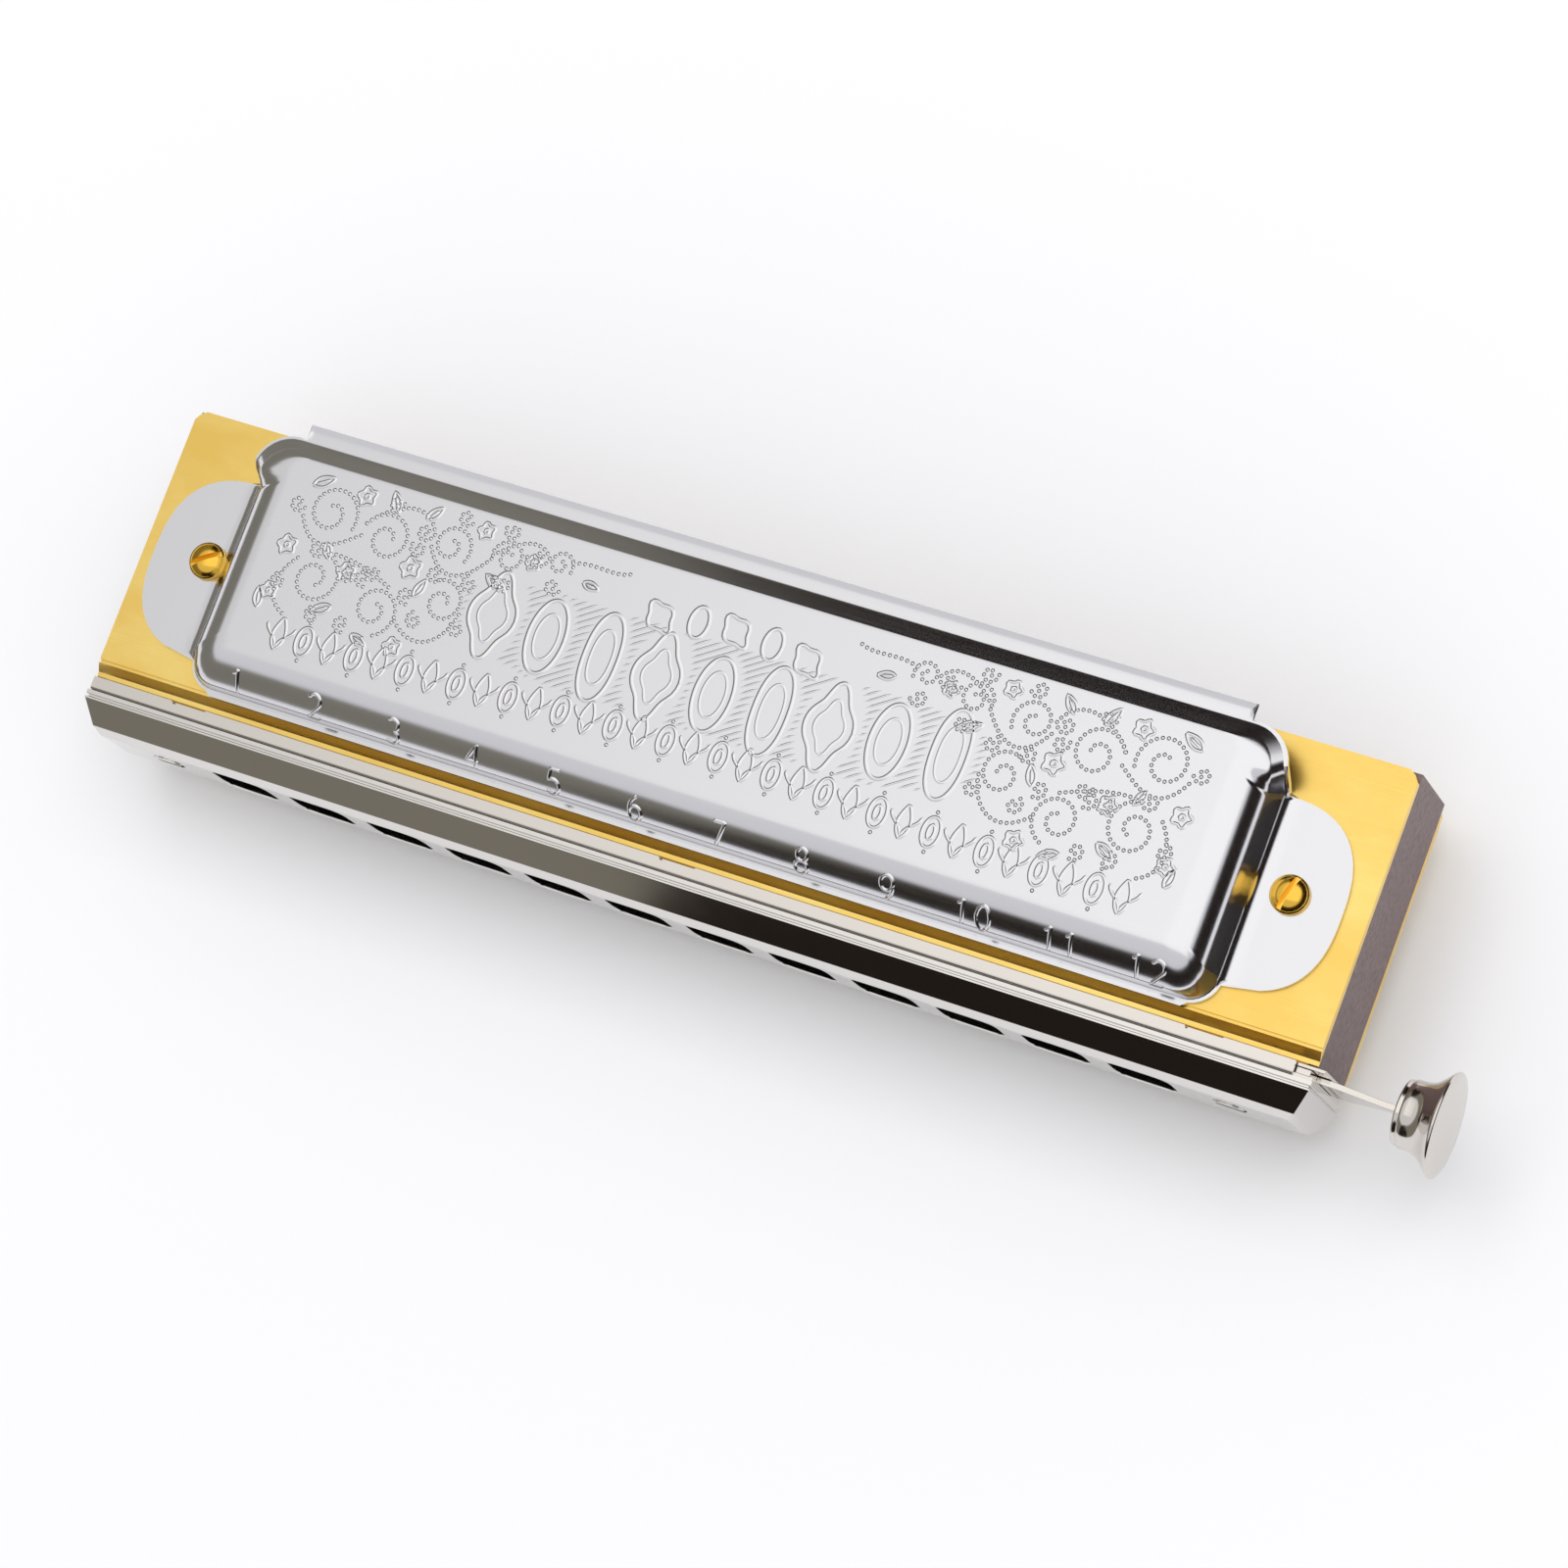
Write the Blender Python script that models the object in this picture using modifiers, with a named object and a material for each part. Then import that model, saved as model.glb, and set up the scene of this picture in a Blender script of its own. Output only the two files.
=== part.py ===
"""A twelve-hole slide chromatic harmonica, lying on its lower cover.

X runs along the comb from the low notes to the slide button, -Y is the side
that is played, +Z is up. The origin is on the lower cover's flat face, below
the middle of the comb. Lengths below are millimetres and become metres in the
mm() function.
"""

import math

import bmesh
import bpy

# Driving dimensions
HOLES = 12
PITCH = 9.43
GAP = 0.05

COMB_LENGTH = 140.0
COMB_HEIGHT = 11.5
FRONT = -16.5
BACK = 14.2
CORNER_CUT = 1.1

PLATE_THICK = 0.95
GROOVE_Y = -15.0
GROOVE_WIDTH = 0.35
GROOVE_DEPTH = 0.35

CHAMBER_WIDTH = 7.7
CHAMBER_WEB = 1.0
CHAMBER_LONG = 24.0
CHAMBER_SHORT = 17.0
SPRING_POCKET_X = (-68.8, -63.4)
SPRING_POCKET_DEPTH = 4.4
SPRING_POCKET_HALF = 4.2

REED_WIDTH = 2.1
REED_THICK = 0.25
REED_OFFSET = 1.95
REED_LONG = 16.5
REED_SHORT = 9.5
REED_ROOT_Y = -11.0
RIVET_RADIUS = 0.95
RIVET_HEIGHT = 0.45
SLOT_CLEAR = 0.12
NAIL_X = (-50.0, -17.0, 17.0, 50.0)
NAIL_Y = 11.6
NAIL_RADIUS = 0.9
NAIL_HEIGHT = 0.5

COVER_HEIGHT = 5.8
COVER_SHEET = 0.45
COVER_SHIFT = -0.5
COVER_HALF_LENGTH = 58.6
COVER_FRONT = -14.25
COVER_BACK = 13.3
ARC_STEPS = 4
FRONT_RADIUS = 3.0
BACK_RADIUS = 4.0
RADIUS_SHARE = 0.45
BACK_RUN = 1.9
SHOULDER_STEPS = ((0.0, 0.45), (0.1, 3.5), (0.93, 4.45), (1.97, 5.2), (3.15, 5.65), (4.4, 5.8))
OPEN_FROM_Y = 8.2
OPEN_RUN = 1.6
OPEN_HEIGHT = 4.3
FOOT_WIDTH = 0.8
LIP_WIDTH = 1.9
LIP_RISE = 0.4
LIP_HALF_LENGTH = 53.8
LIP_SHARE = 0.6
RIM_WIDTH = 0.3
TAB_REACH = 9.4
TAB_MIDDLE_Y = -1.8
TAB_HALF_WIDTH = 9.9
TAB_POWER = 2.6

COVER_SCREW_X = 61.9
COVER_SCREW_Y = -1.35
SCREW_RADIUS = 1.1
SCREW_HEAD_RADIUS = 2.05
SCREW_HEAD_HEIGHT = 1.5
SLOT_WIDTH = 0.55
SLOT_DEPTH = 0.7
NUT_RADIUS = 2.1
NUT_HEIGHT = 1.6
HOLE_CLEAR = 0.06
SHANK_END = 2.6

BACK_PLATE_Y = (-16.9, -16.55)
BACK_PLATE_ENDS = (-69.4, 70.9)
BACK_PLATE_HALF_HEIGHT = 6.0
SLIDE_Y = (-17.6, -16.95)
CAGE_WEB_Y = (-18.0, -17.65)
CAGE_HALF_HEIGHT = 6.65
CAGE_HALF_LENGTH = 69.9
CAGE_FLANGE_END = 67.9
CAGE_SHEET = 0.4
CAGE_NOTCH = (4.1, 0.3)
CAGE_NOTCH_X = (-58.2, 0.0, 58.2)
WINDOW = (4.0, 2.7)
WINDOW_RISE = 1.75
SLIDE_TRAVEL = PITCH / 2
SLIDE_HALF_HEIGHT = 5.9
SLIDE_ENDS = (-65.0, 69.5)
SLIDE_CORNER = 1.0
TONGUE_SHOULDER = 1.5
TONGUE_FILLET = (2.0, 0.6)
TONGUE_ROOT_HALF = 3.0
TONGUE_TIP_HALF = 0.9
TONGUE_TIP_LENGTH = 1.6
SCREW_SLOT_HALF = 1.4
SCREW_SLOT_CLEAR = 0.05
BUTTON_START = 77.8
BUTTON_PROFILE = (
    (0.0, 4.9),
    (3.4, 4.9),
    (5.3, 4.75),
    (5.55, 4.55),
    (5.4, 4.2),
    (4.3, 3.3),
    (3.65, 2.1),
    (3.45, 0.9),
    (3.35, 0.0),
    (0.0, 0.0),
)
SPRING_WIRE_RADIUS = 0.3
SPRING_BEND_RADIUS = 1.5
SPRING_DEPTH = 2.4
SPRING_LEG_X = 2.2
SPRING_FOOT_Z = -3.4
SPRING_BEND_Z = 1.4
# The pushing leg's last points: from the comb's end, from its front, from its middle
SPRING_PUSH_LEG = ((5.6, 1.4, -1.8), (5.7, 0.5, -2.9))
BUMPER_RADIUS = 1.3
BUMPER_CLEAR = 0.03

MOUTH_HALF_LENGTH = 70.1
MOUTH_SCREW_X = 61.3
MOUTH_SCREW_RADIUS = 0.8
MOUTH_HEAD_RADIUS = 1.7
MOUTH_HEAD_HEIGHT = 0.75
MOUTH_SCREW_LENGTH = 9.0
MOUTH_HOLE = (6.6, 6.2)
MOUTH_HOLE_RADIUS = 1.3
# Distance in front of the back face, then the inset of the ends and of the top
MOUTH_SECTIONS = (
    (0.0, 0.0, 0.0),
    (0.45, 0.0, 0.0),
    (0.5, 0.22, 0.22),
    (0.7, 0.22, 0.22),
    (0.75, 0.0, 0.0),
    (1.02, 0.05, 0.05),
    (2.3, 0.55, 0.85),
    (3.38, 1.25, 1.95),
    (3.85, 1.7, 3.0),
    (3.95, 1.95, 3.3),
)
MOUTH_DEPTH = MOUTH_SECTIONS[-1][0]

# Height of the comb's middle above the lower cover's flat face
MIDDLE = COMB_HEIGHT / 2 + GAP + PLATE_THICK + COVER_HEIGHT

STEEL = (0.78, 0.79, 0.80, 1.0)
NICKEL = (0.74, 0.70, 0.66, 1.0)
BRASS = (0.86, 0.62, 0.22, 1.0)
WOOD = (0.13, 0.085, 0.09, 1.0)
RUBBER = (0.05, 0.05, 0.05, 1.0)


def mm(value):
    return value / 1000.0


def clear_scene():
    for obj in list(bpy.data.objects):
        bpy.data.objects.remove(obj, do_unlink=True)


def new_collection(name, shown=True):
    collection = bpy.data.collections.new(name)
    collection.hide_render = not shown
    bpy.context.scene.collection.children.link(collection)
    return collection


def new_material(name, colour, roughness, metallic):
    material = bpy.data.materials.new(name)
    material.use_nodes = True
    shader = material.node_tree.nodes["Principled BSDF"]
    shader.inputs["Base Color"].default_value = colour
    shader.inputs["Roughness"].default_value = roughness
    shader.inputs["Metallic"].default_value = metallic
    return material


clear_scene()
HARMONICA = new_collection("harmonica")
CUTTERS = new_collection("cutters", shown=False)


def add_object(name, bm, material):
    """A mesh object in the harmonica's collection from a bmesh in millimetres."""
    bmesh.ops.scale(bm, vec=(0.001, 0.001, 0.001), verts=bm.verts)
    mesh = bpy.data.meshes.new(name)
    bm.to_mesh(mesh)
    bm.free()
    if material is not None:
        mesh.materials.append(material)
    obj = bpy.data.objects.new(name, mesh)
    HARMONICA.objects.link(obj)
    return obj


def add_cutter(name, bm):
    obj = add_object(name, bm, None)
    HARMONICA.objects.unlink(obj)
    CUTTERS.objects.link(obj)
    obj.hide_render = True
    obj.display_type = "WIRE"
    return obj


def cut(target, cutter, operation="DIFFERENCE"):
    modifier = target.modifiers.new(cutter.name, "BOOLEAN")
    modifier.operation = operation
    modifier.solver = "EXACT"
    modifier.object = cutter


def smooth(obj, degrees=40.0):
    obj.data.shade_smooth()
    obj.data.set_sharp_from_angle(angle=math.radians(degrees))


def box_into(bm, low, high):
    """Adds a box to a bmesh between two corners."""
    made = bmesh.ops.create_cube(bm, size=1.0)["verts"]
    size = [b - a for a, b in zip(low, high)]
    middle = [(a + b) / 2 for a, b in zip(low, high)]
    bmesh.ops.scale(bm, vec=size, verts=made)
    bmesh.ops.translate(bm, vec=middle, verts=made)


def rod_into(bm, radius, start, end, axis, place, sides=12):
    """Adds a cylinder along the Y or Z axis, from start to end."""
    made = bmesh.ops.create_cone(
        bm, cap_ends=True, segments=sides, radius1=radius, radius2=radius, depth=end - start
    )["verts"]
    bmesh.ops.translate(bm, vec=(0, 0, (start + end) / 2), verts=made)
    for vert in made:
        x, y, z = vert.co
        turned = {"Y": (y, z, x), "Z": (x, y, z)}[axis]
        vert.co = [a + b for a, b in zip(turned, place)]


def outline_block(name, points, low, high, axis, material):
    """A flat outline, given as pairs, extruded between low and high along an axis."""
    curve = bpy.data.curves.new(name, "CURVE")
    curve.dimensions = "2D"
    curve.fill_mode = "BOTH"
    curve.extrude = mm((high - low) / 2)
    spline = curve.splines.new("POLY")
    spline.points.add(len(points) - 1)
    for point, (u, v) in zip(spline.points, points):
        point.co = (mm(u), mm(v), 0.0, 1.0)
    spline.use_cyclic_u = True
    shape = bpy.data.objects.new(name + "_outline", curve)
    HARMONICA.objects.link(shape)
    middle = mm((low + high) / 2)
    if axis == "Z":
        shape.location = (0.0, 0.0, middle)
    else:
        shape.rotation_euler = (math.pi / 2, 0.0, 0.0)
        shape.location = (0.0, middle, 0.0)
    return curve_to_mesh(name, shape, material)


def curve_to_mesh(name, shape, material):
    """Turns a curve object into a mesh object with its caps welded on."""
    bpy.context.view_layer.update()
    graph = bpy.context.evaluated_depsgraph_get()
    mesh = bpy.data.meshes.new_from_object(shape.evaluated_get(graph))
    mesh.transform(shape.matrix_world)
    bpy.data.objects.remove(shape, do_unlink=True)
    bm = bmesh.new()
    bm.from_mesh(mesh)
    bpy.data.meshes.remove(mesh)
    bmesh.ops.remove_doubles(bm, verts=bm.verts, dist=1e-6)
    bmesh.ops.recalc_face_normals(bm, faces=bm.faces)
    bmesh.ops.scale(bm, vec=(1000.0, 1000.0, 1000.0), verts=bm.verts)
    return add_object(name, bm, material)


def hole_x(number):
    """The X of a mouthpiece hole, counted from 0 at the low end."""
    return (number - (HOLES - 1) / 2) * PITCH


def level(side, height):
    """A height above the reed plate's outer face, on the upper (+1) or lower (-1) half."""
    return MIDDLE + side * (COMB_HEIGHT / 2 + GAP + PLATE_THICK + height)


def arc(centre, radius, start, end, steps):
    """Points on an arc between two angles in degrees, both ends included."""
    points = []
    for step in range(steps + 1):
        angle = math.radians(start + (end - start) * step / steps)
        points.append((centre[0] + radius * math.cos(angle), centre[1] + radius * math.sin(angle)))
    return points


def ordered(a, b):
    return min(a, b), max(a, b)


# Comb

def plate_outline():
    """Outline of the comb and reed plates, with small cuts at the corners."""
    half = COMB_LENGTH / 2
    return [
        (-half, FRONT + CORNER_CUT * 0.6),
        (-half + CORNER_CUT, FRONT),
        (half - CORNER_CUT, FRONT),
        (half, FRONT + CORNER_CUT * 0.6),
        (half, BACK - CORNER_CUT),
        (half - CORNER_CUT * 0.6, BACK),
        (-half + CORNER_CUT * 0.6, BACK),
        (-half, BACK - CORNER_CUT),
    ]


def comb_outline():
    half = COMB_LENGTH / 2
    return [(-half, FRONT), (half, FRONT), (half, BACK), (-half, BACK)]


def chamber_length(number):
    return CHAMBER_LONG + (CHAMBER_SHORT - CHAMBER_LONG) * number / (HOLES - 1)


def add_chambers_cutter():
    """Two rows of channels, open at the comb's front and at its upper or lower face."""
    bm = bmesh.new()
    for number in range(HOLES):
        for side in (1, -1):
            start, end = ordered(
                MIDDLE + side * CHAMBER_WEB / 2, MIDDLE + side * (COMB_HEIGHT / 2 + 1)
            )
            x = hole_x(number)
            low = (x - CHAMBER_WIDTH / 2, FRONT - 1, start)
            high = (x + CHAMBER_WIDTH / 2, FRONT + chamber_length(number), end)
            box_into(bm, low, high)
    return add_cutter("chamber_cutter", bm)


def add_comb_bores_cutter():
    """Bores for the cover screws and mouthpiece screws, and the spring's pocket."""
    bm = bmesh.new()
    for x in (-COVER_SCREW_X, COVER_SCREW_X):
        rod_into(bm, SCREW_RADIUS + HOLE_CLEAR, 0, 30, "Z", (x, COVER_SCREW_Y, 0))
    for x in (-MOUTH_SCREW_X, MOUTH_SCREW_X):
        rod_into(
            bm, MOUTH_SCREW_RADIUS + HOLE_CLEAR, FRONT - 1, FRONT + 7, "Y", (x, 0, MIDDLE)
        )
    left, right = SPRING_POCKET_X
    high = SPRING_POCKET_HALF
    box_into(bm, (left, FRONT - 1, MIDDLE - high), (right, FRONT + SPRING_POCKET_DEPTH, MIDDLE + high))
    return add_cutter("comb_bore_cutter", bm)


def add_comb(material):
    low = MIDDLE - COMB_HEIGHT / 2
    comb = outline_block("comb", comb_outline(), low, low + COMB_HEIGHT, "Z", material)
    cut(comb, add_chambers_cutter())
    cut(comb, add_comb_bores_cutter())


# Reed plates and reeds

def reed_length(number):
    return REED_LONG + (REED_SHORT - REED_LONG) * number / (HOLES - 1)


def add_slots_cutter(name, side):
    """Two slots over each chamber, the cover's groove and the cover screws' holes."""
    bm = bmesh.new()
    low, high = ordered(level(side, -PLATE_THICK - 1), level(side, 1))
    for number in range(HOLES):
        for offset in (-REED_OFFSET, REED_OFFSET):
            x = hole_x(number) + offset
            half = REED_WIDTH / 2 + SLOT_CLEAR
            start = REED_ROOT_Y + RIVET_RADIUS + 0.6
            box_into(bm, (x - half, start, low), (x + half, start + reed_length(number), high))
    for x in (-COVER_SCREW_X, COVER_SCREW_X):
        rod_into(bm, SCREW_RADIUS + HOLE_CLEAR, low, high, "Z", (x, COVER_SCREW_Y, 0))
    bottom, top = ordered(level(side, -GROOVE_DEPTH), level(side, 1))
    half = COMB_LENGTH / 2 + 1
    box_into(bm, (-half, GROOVE_Y, bottom), (half, GROOVE_Y + GROOVE_WIDTH, top))
    return add_cutter(name, bm)


def add_reed_plate(name, side, material):
    low, high = ordered(level(side, -PLATE_THICK), level(side, 0))
    plate = outline_block(name, plate_outline(), low, high, "Z", material)
    cut(plate, add_slots_cutter(name + "_cutter", side))


def add_reed(name, number, side, material):
    """A flat tongue that tapers to its tip, with the head of its rivet on the root."""
    x = hole_x(number) - REED_OFFSET
    half = REED_WIDTH / 2
    root = REED_ROOT_Y - RIVET_RADIUS - 0.2
    tip = REED_ROOT_Y + RIVET_RADIUS + 0.6 + reed_length(number) - SLOT_CLEAR
    outline = [(x - half, root), (x + half, root), (x + half * 0.8, tip), (x - half * 0.8, tip)]
    low, high = ordered(level(side, GAP), level(side, GAP + REED_THICK))
    reed = outline_block(name, outline, low, high, "Z", material)
    start, end = ordered(level(side, GAP + REED_THICK / 2), level(side, GAP + REED_THICK + RIVET_HEIGHT))
    bm = bmesh.new()
    rod_into(bm, RIVET_RADIUS, start, end, "Z", (x, REED_ROOT_Y, 0), sides=8)
    cut(reed, add_cutter(name + "_rivet", bm), "UNION")


def add_plate_nail(name, x, y, side, material):
    """A round-headed nail: its head stands on the plate and its shank is in the wood."""
    bm = bmesh.new()
    start, end = ordered(level(side, GAP), level(side, GAP + NAIL_HEIGHT))
    rod_into(bm, NAIL_RADIUS, start, end, "Z", (x, y, 0), sides=10)
    add_object(name, bm, material)


# Covers

def cover_ring(inset, climb):
    """The pan's outline at an inset: front-left corner first, turning anticlockwise. The back
    slopes in evenly with climb, the share of the pan's height."""
    right = COVER_HALF_LENGTH - inset
    front = COVER_FRONT + inset
    back = COVER_BACK - climb * BACK_RUN
    small = FRONT_RADIUS - inset * RADIUS_SHARE
    large = BACK_RADIUS - inset * RADIUS_SHARE
    ring = arc((-right + small, front + small), small, 180, 270, ARC_STEPS)
    ring += arc((right - small, front + small), small, 270, 360, ARC_STEPS)
    side = side_points(front + small, back - large)
    ring += [(right, y) for y in side]
    ring += arc((right - large, back - large), large, 0, 90, ARC_STEPS)
    lip = [(LIP_HALF_LENGTH + 0.15 - inset * LIP_SHARE, back + 0.05)]
    lip += [(LIP_HALF_LENGTH - inset * LIP_SHARE, back + 0.08)]
    ring += lip
    ring += [(-x, y) for x, y in reversed(lip)]
    ring += arc((-right + large, back - large), large, 90, 180, ARC_STEPS)
    ring += [(-right, y) for y in reversed(side)]
    return ring


def side_points(low, high):
    """Places up one side between two corners: the tab's outline needs them, so they follow its
    width round the pan's foot, and they close up with the corners further in."""
    foot_low = COVER_FRONT + FRONT_RADIUS
    foot_high = COVER_BACK - BACK_RADIUS
    angles = [math.pi * step / 10 for step in range(11)]
    at_foot = [TAB_MIDDLE_Y - TAB_HALF_WIDTH * math.cos(angle) for angle in angles]
    at_foot.append(OPEN_FROM_Y + 0.6)
    shares = [(y - foot_low) / (foot_high - foot_low) for y in at_foot]
    return [low + (high - low) * share for share in shares if 0.001 < share < 0.999]


def foot_reach(x, y):
    """How far the cover's edge turns outwards at a point of its outline, and its rise."""
    if y > COVER_BACK + 0.06:
        return LIP_WIDTH, LIP_RISE
    across = abs(y - TAB_MIDDLE_Y) / TAB_HALF_WIDTH
    if across < 0.999 and abs(x) > COVER_HALF_LENGTH - 0.01:
        reach = TAB_REACH * (1 - across ** TAB_POWER) ** (1 / TAB_POWER)
        return max(reach, RIM_WIDTH), 0.0
    if y < COVER_FRONT + 0.01:
        return FOOT_WIDTH, 0.0
    return RIM_WIDTH, 0.0


def edge_height(y):
    """Height of the pan's lower edge: on the plate, then rising to the open back."""
    share = min(max((y - OPEN_FROM_Y) / OPEN_RUN, 0.0), 1.0)
    return SHOULDER_STEPS[0][1] + (OPEN_HEIGHT - SHOULDER_STEPS[0][1]) * share


def outward(ring, index):
    """Unit vector out of a closed anticlockwise outline at one of its points."""
    before = ring[index - 1]
    after = ring[(index + 1) % len(ring)]
    along = (after[0] - before[0], after[1] - before[1])
    length = math.hypot(*along)
    return along[1] / length, -along[0] / length


def add_cover(name, side, material):
    """A pressed pan whose edge turns out into foot, end tabs and rear lip, in one sheet."""
    rings = []
    outline = cover_ring(0.0, 0.0)
    flange = []
    for index, (x, y) in enumerate(outline):
        reach, rise = foot_reach(x, y)
        out_x, out_y = outward(outline, index)
        if abs(x) > COVER_HALF_LENGTH - 0.01:
            out_x, out_y = math.copysign(1.0, x), 0.0
        if reach in (LIP_WIDTH, FOOT_WIDTH):
            out_x, out_y = 0.0, math.copysign(1.0, y)
        flange.append((x + out_x * reach, y + out_y * reach, edge_height(y) + rise))
    rings.append(flange)
    lowest = SHOULDER_STEPS[0][1]
    for inset, height in SHOULDER_STEPS:
        share = (height - lowest) / (COVER_HEIGHT - lowest)
        ring = []
        for (x, y), (_, base_y) in zip(cover_ring(inset, share), outline):
            foot = edge_height(base_y)
            ring.append((x, y, foot + (COVER_HEIGHT - foot) * share))
        rings.append(ring)
    bm = bmesh.new()
    loops = [[bm.verts.new((x + COVER_SHIFT, y, level(side, z))) for x, y, z in ring] for ring in rings]
    count = len(outline)
    for outer, inner in zip(loops, loops[1:]):
        for index in range(count):
            after = (index + 1) % count
            bm.faces.new((outer[index], outer[after], inner[after], inner[index]))
    top = loops[-1]
    for right in range(ARC_STEPS + 1, ARC_STEPS + count // 2):
        left = 2 * ARC_STEPS + 1 - right
        bm.faces.new((top[right], top[right + 1], top[left - 1], top[left]))
    if side < 0:
        bmesh.ops.reverse_faces(bm, faces=bm.faces)
    cover = add_object(name, bm, material)
    sheet = cover.modifiers.new("sheet", "SOLIDIFY")
    sheet.thickness = mm(COVER_SHEET)
    sheet.offset = -1.0
    sheet.use_quality_normals = True
    cutter = bmesh.new()
    for x in (-COVER_SCREW_X, COVER_SCREW_X):
        low, high = ordered(level(side, -1), level(side, 3))
        rod_into(cutter, SCREW_RADIUS + HOLE_CLEAR, low, high, "Z", (x, COVER_SCREW_Y, 0))
    cut(cover, add_cutter(name + "_cutter", cutter))
    smooth(cover)


# Slide parts

def windows_into(bm, low_y, high_y, shift=0.0):
    """A row of windows above the middle, and one below it that may be shifted."""
    width, height = WINDOW
    for number in range(HOLES):
        for side in (1, -1):
            x = hole_x(number) + (shift if side < 0 else 0.0)
            z = MIDDLE + side * WINDOW_RISE
            low = (x - width / 2, low_y - 0.2, z - height / 2)
            high = (x + width / 2, high_y + 0.2, z + height / 2)
            box_into(bm, low, high)


def mouth_screw_holes_into(bm, low_y, high_y, radius):
    for x in (-MOUTH_SCREW_X, MOUTH_SCREW_X):
        rod_into(bm, radius, low_y - 0.2, high_y + 0.2, "Y", (x, 0, MIDDLE))


def add_back_plate(material):
    bm = bmesh.new()
    low, high = BACK_PLATE_Y
    left, right = BACK_PLATE_ENDS
    half = BACK_PLATE_HALF_HEIGHT
    box_into(bm, (left, low, MIDDLE - half), (right, high, MIDDLE + half))
    plate = add_object("slide_back_plate", bm, material)
    cutter = bmesh.new()
    windows_into(cutter, low, high)
    mouth_screw_holes_into(cutter, low, high, MOUTH_SCREW_RADIUS + HOLE_CLEAR)
    cut(plate, add_cutter("back_plate_cutter", cutter))


def slide_outline():
    """The slide with its tongue at the button end, as X and Z pairs."""
    left, right = SLIDE_ENDS
    high = SLIDE_HALF_HEIGHT
    run, rise = TONGUE_FILLET
    upper = [
        (left, high - SLIDE_CORNER),
        (left + SLIDE_CORNER, high),
        (right - TONGUE_SHOULDER, high),
        (right, TONGUE_ROOT_HALF + rise),
        (right + run, TONGUE_ROOT_HALF),
        (BUTTON_START - TONGUE_TIP_LENGTH, TONGUE_TIP_HALF),
        (BUTTON_START - GAP, TONGUE_TIP_HALF),
    ]
    lower = [(x, -z) for x, z in reversed(upper)]
    return [(x, z + MIDDLE) for x, z in upper + lower]


def add_slide(material):
    low, high = SLIDE_Y
    slide = outline_block("slide", slide_outline(), low, high, "Y", material)
    cutter = bmesh.new()
    windows_into(cutter, low, high, shift=SLIDE_TRAVEL)
    half = SCREW_SLOT_HALF
    for x in (-MOUTH_SCREW_X, MOUTH_SCREW_X):
        end = x + SLIDE_TRAVEL + half + SCREW_SLOT_CLEAR
        box_into(cutter, (x - half, low - 0.2, MIDDLE - half), (end, high + 0.2, MIDDLE + half))
    cut(slide, add_cutter("slide_cutter", cutter))


def add_cage(material):
    """A channel that holds the slide: a web with windows and two flanges turned back."""
    bm = bmesh.new()
    low, high = CAGE_WEB_Y
    half = CAGE_HALF_HEIGHT
    box_into(bm, (-CAGE_HALF_LENGTH, low, MIDDLE - half), (CAGE_HALF_LENGTH, high, MIDDLE + half))
    cage = add_object("slide_cage", bm, material)
    flanges = bmesh.new()
    for side in (1, -1):
        bottom, top = ordered(MIDDLE + side * (half - CAGE_SHEET), MIDDLE + side * half)
        box_into(flanges, (-CAGE_HALF_LENGTH, low + 0.1, bottom), (CAGE_FLANGE_END, FRONT - GAP, top))
    cut(cage, add_cutter("cage_flanges", flanges), "UNION")
    cutter = bmesh.new()
    windows_into(cutter, low, high)
    mouth_screw_holes_into(cutter, low, high, MOUTH_SCREW_RADIUS + HOLE_CLEAR)
    width, depth = CAGE_NOTCH
    for x in CAGE_NOTCH_X:
        start = (x - width / 2, FRONT - GAP - depth, MIDDLE - half - 1)
        box_into(cutter, start, (x + width / 2, FRONT + 1, MIDDLE + half + 1))
    cut(cage, add_cutter("cage_cutter", cutter))


def add_button(material):
    """The turned push knob: a collar that flares to a flat round face."""
    bm = bmesh.new()
    verts = [bm.verts.new((radius, 0.0, along)) for radius, along in BUTTON_PROFILE]
    for first, second in zip(verts, verts[1:]):
        bm.edges.new((first, second))
    button = add_object("slide_button", bm, material)
    turn = button.modifiers.new("turn", "SCREW")
    turn.steps = 32
    turn.render_steps = 32
    turn.axis = "Z"
    turn.use_merge_vertices = True
    turn.merge_threshold = 0.00001
    button.rotation_euler = (0.0, math.pi / 2, 0.0)
    middle_y = sum(SLIDE_Y) / 2
    button.location = (mm(BUTTON_START), mm(middle_y), mm(MIDDLE))
    smooth(button)


def add_spring(material):
    """A hairpin of spring wire: one leg stands in the comb, the other pushes the slide."""
    half = COMB_LENGTH / 2
    curve = bpy.data.curves.new("return_spring", "CURVE")
    curve.dimensions = "3D"
    curve.bevel_depth = mm(SPRING_WIRE_RADIUS)
    curve.bevel_resolution = 2
    curve.use_fill_caps = True
    deep = FRONT + SPRING_DEPTH
    bend_z = MIDDLE + SPRING_BEND_Z
    points = [(-half + SPRING_LEG_X, deep, MIDDLE + SPRING_FOOT_Z)]
    bend_middle = (-half + SPRING_LEG_X + SPRING_BEND_RADIUS, bend_z)
    for x, z in arc(bend_middle, SPRING_BEND_RADIUS, 180, 0, 6):
        points.append((x, deep, z))
    for from_end, from_front, from_middle in SPRING_PUSH_LEG:
        points.append((-half + from_end, FRONT + from_front, MIDDLE + from_middle))
    spline = curve.splines.new("POLY")
    spline.points.add(len(points) - 1)
    for point, (x, y, z) in zip(spline.points, points):
        point.co = (mm(x), mm(y), mm(z), 1.0)
    wire = bpy.data.objects.new("return_spring_wire", curve)
    HARMONICA.objects.link(wire)
    spring = curve_to_mesh("return_spring", wire, material)
    smooth(spring, 60.0)


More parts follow.
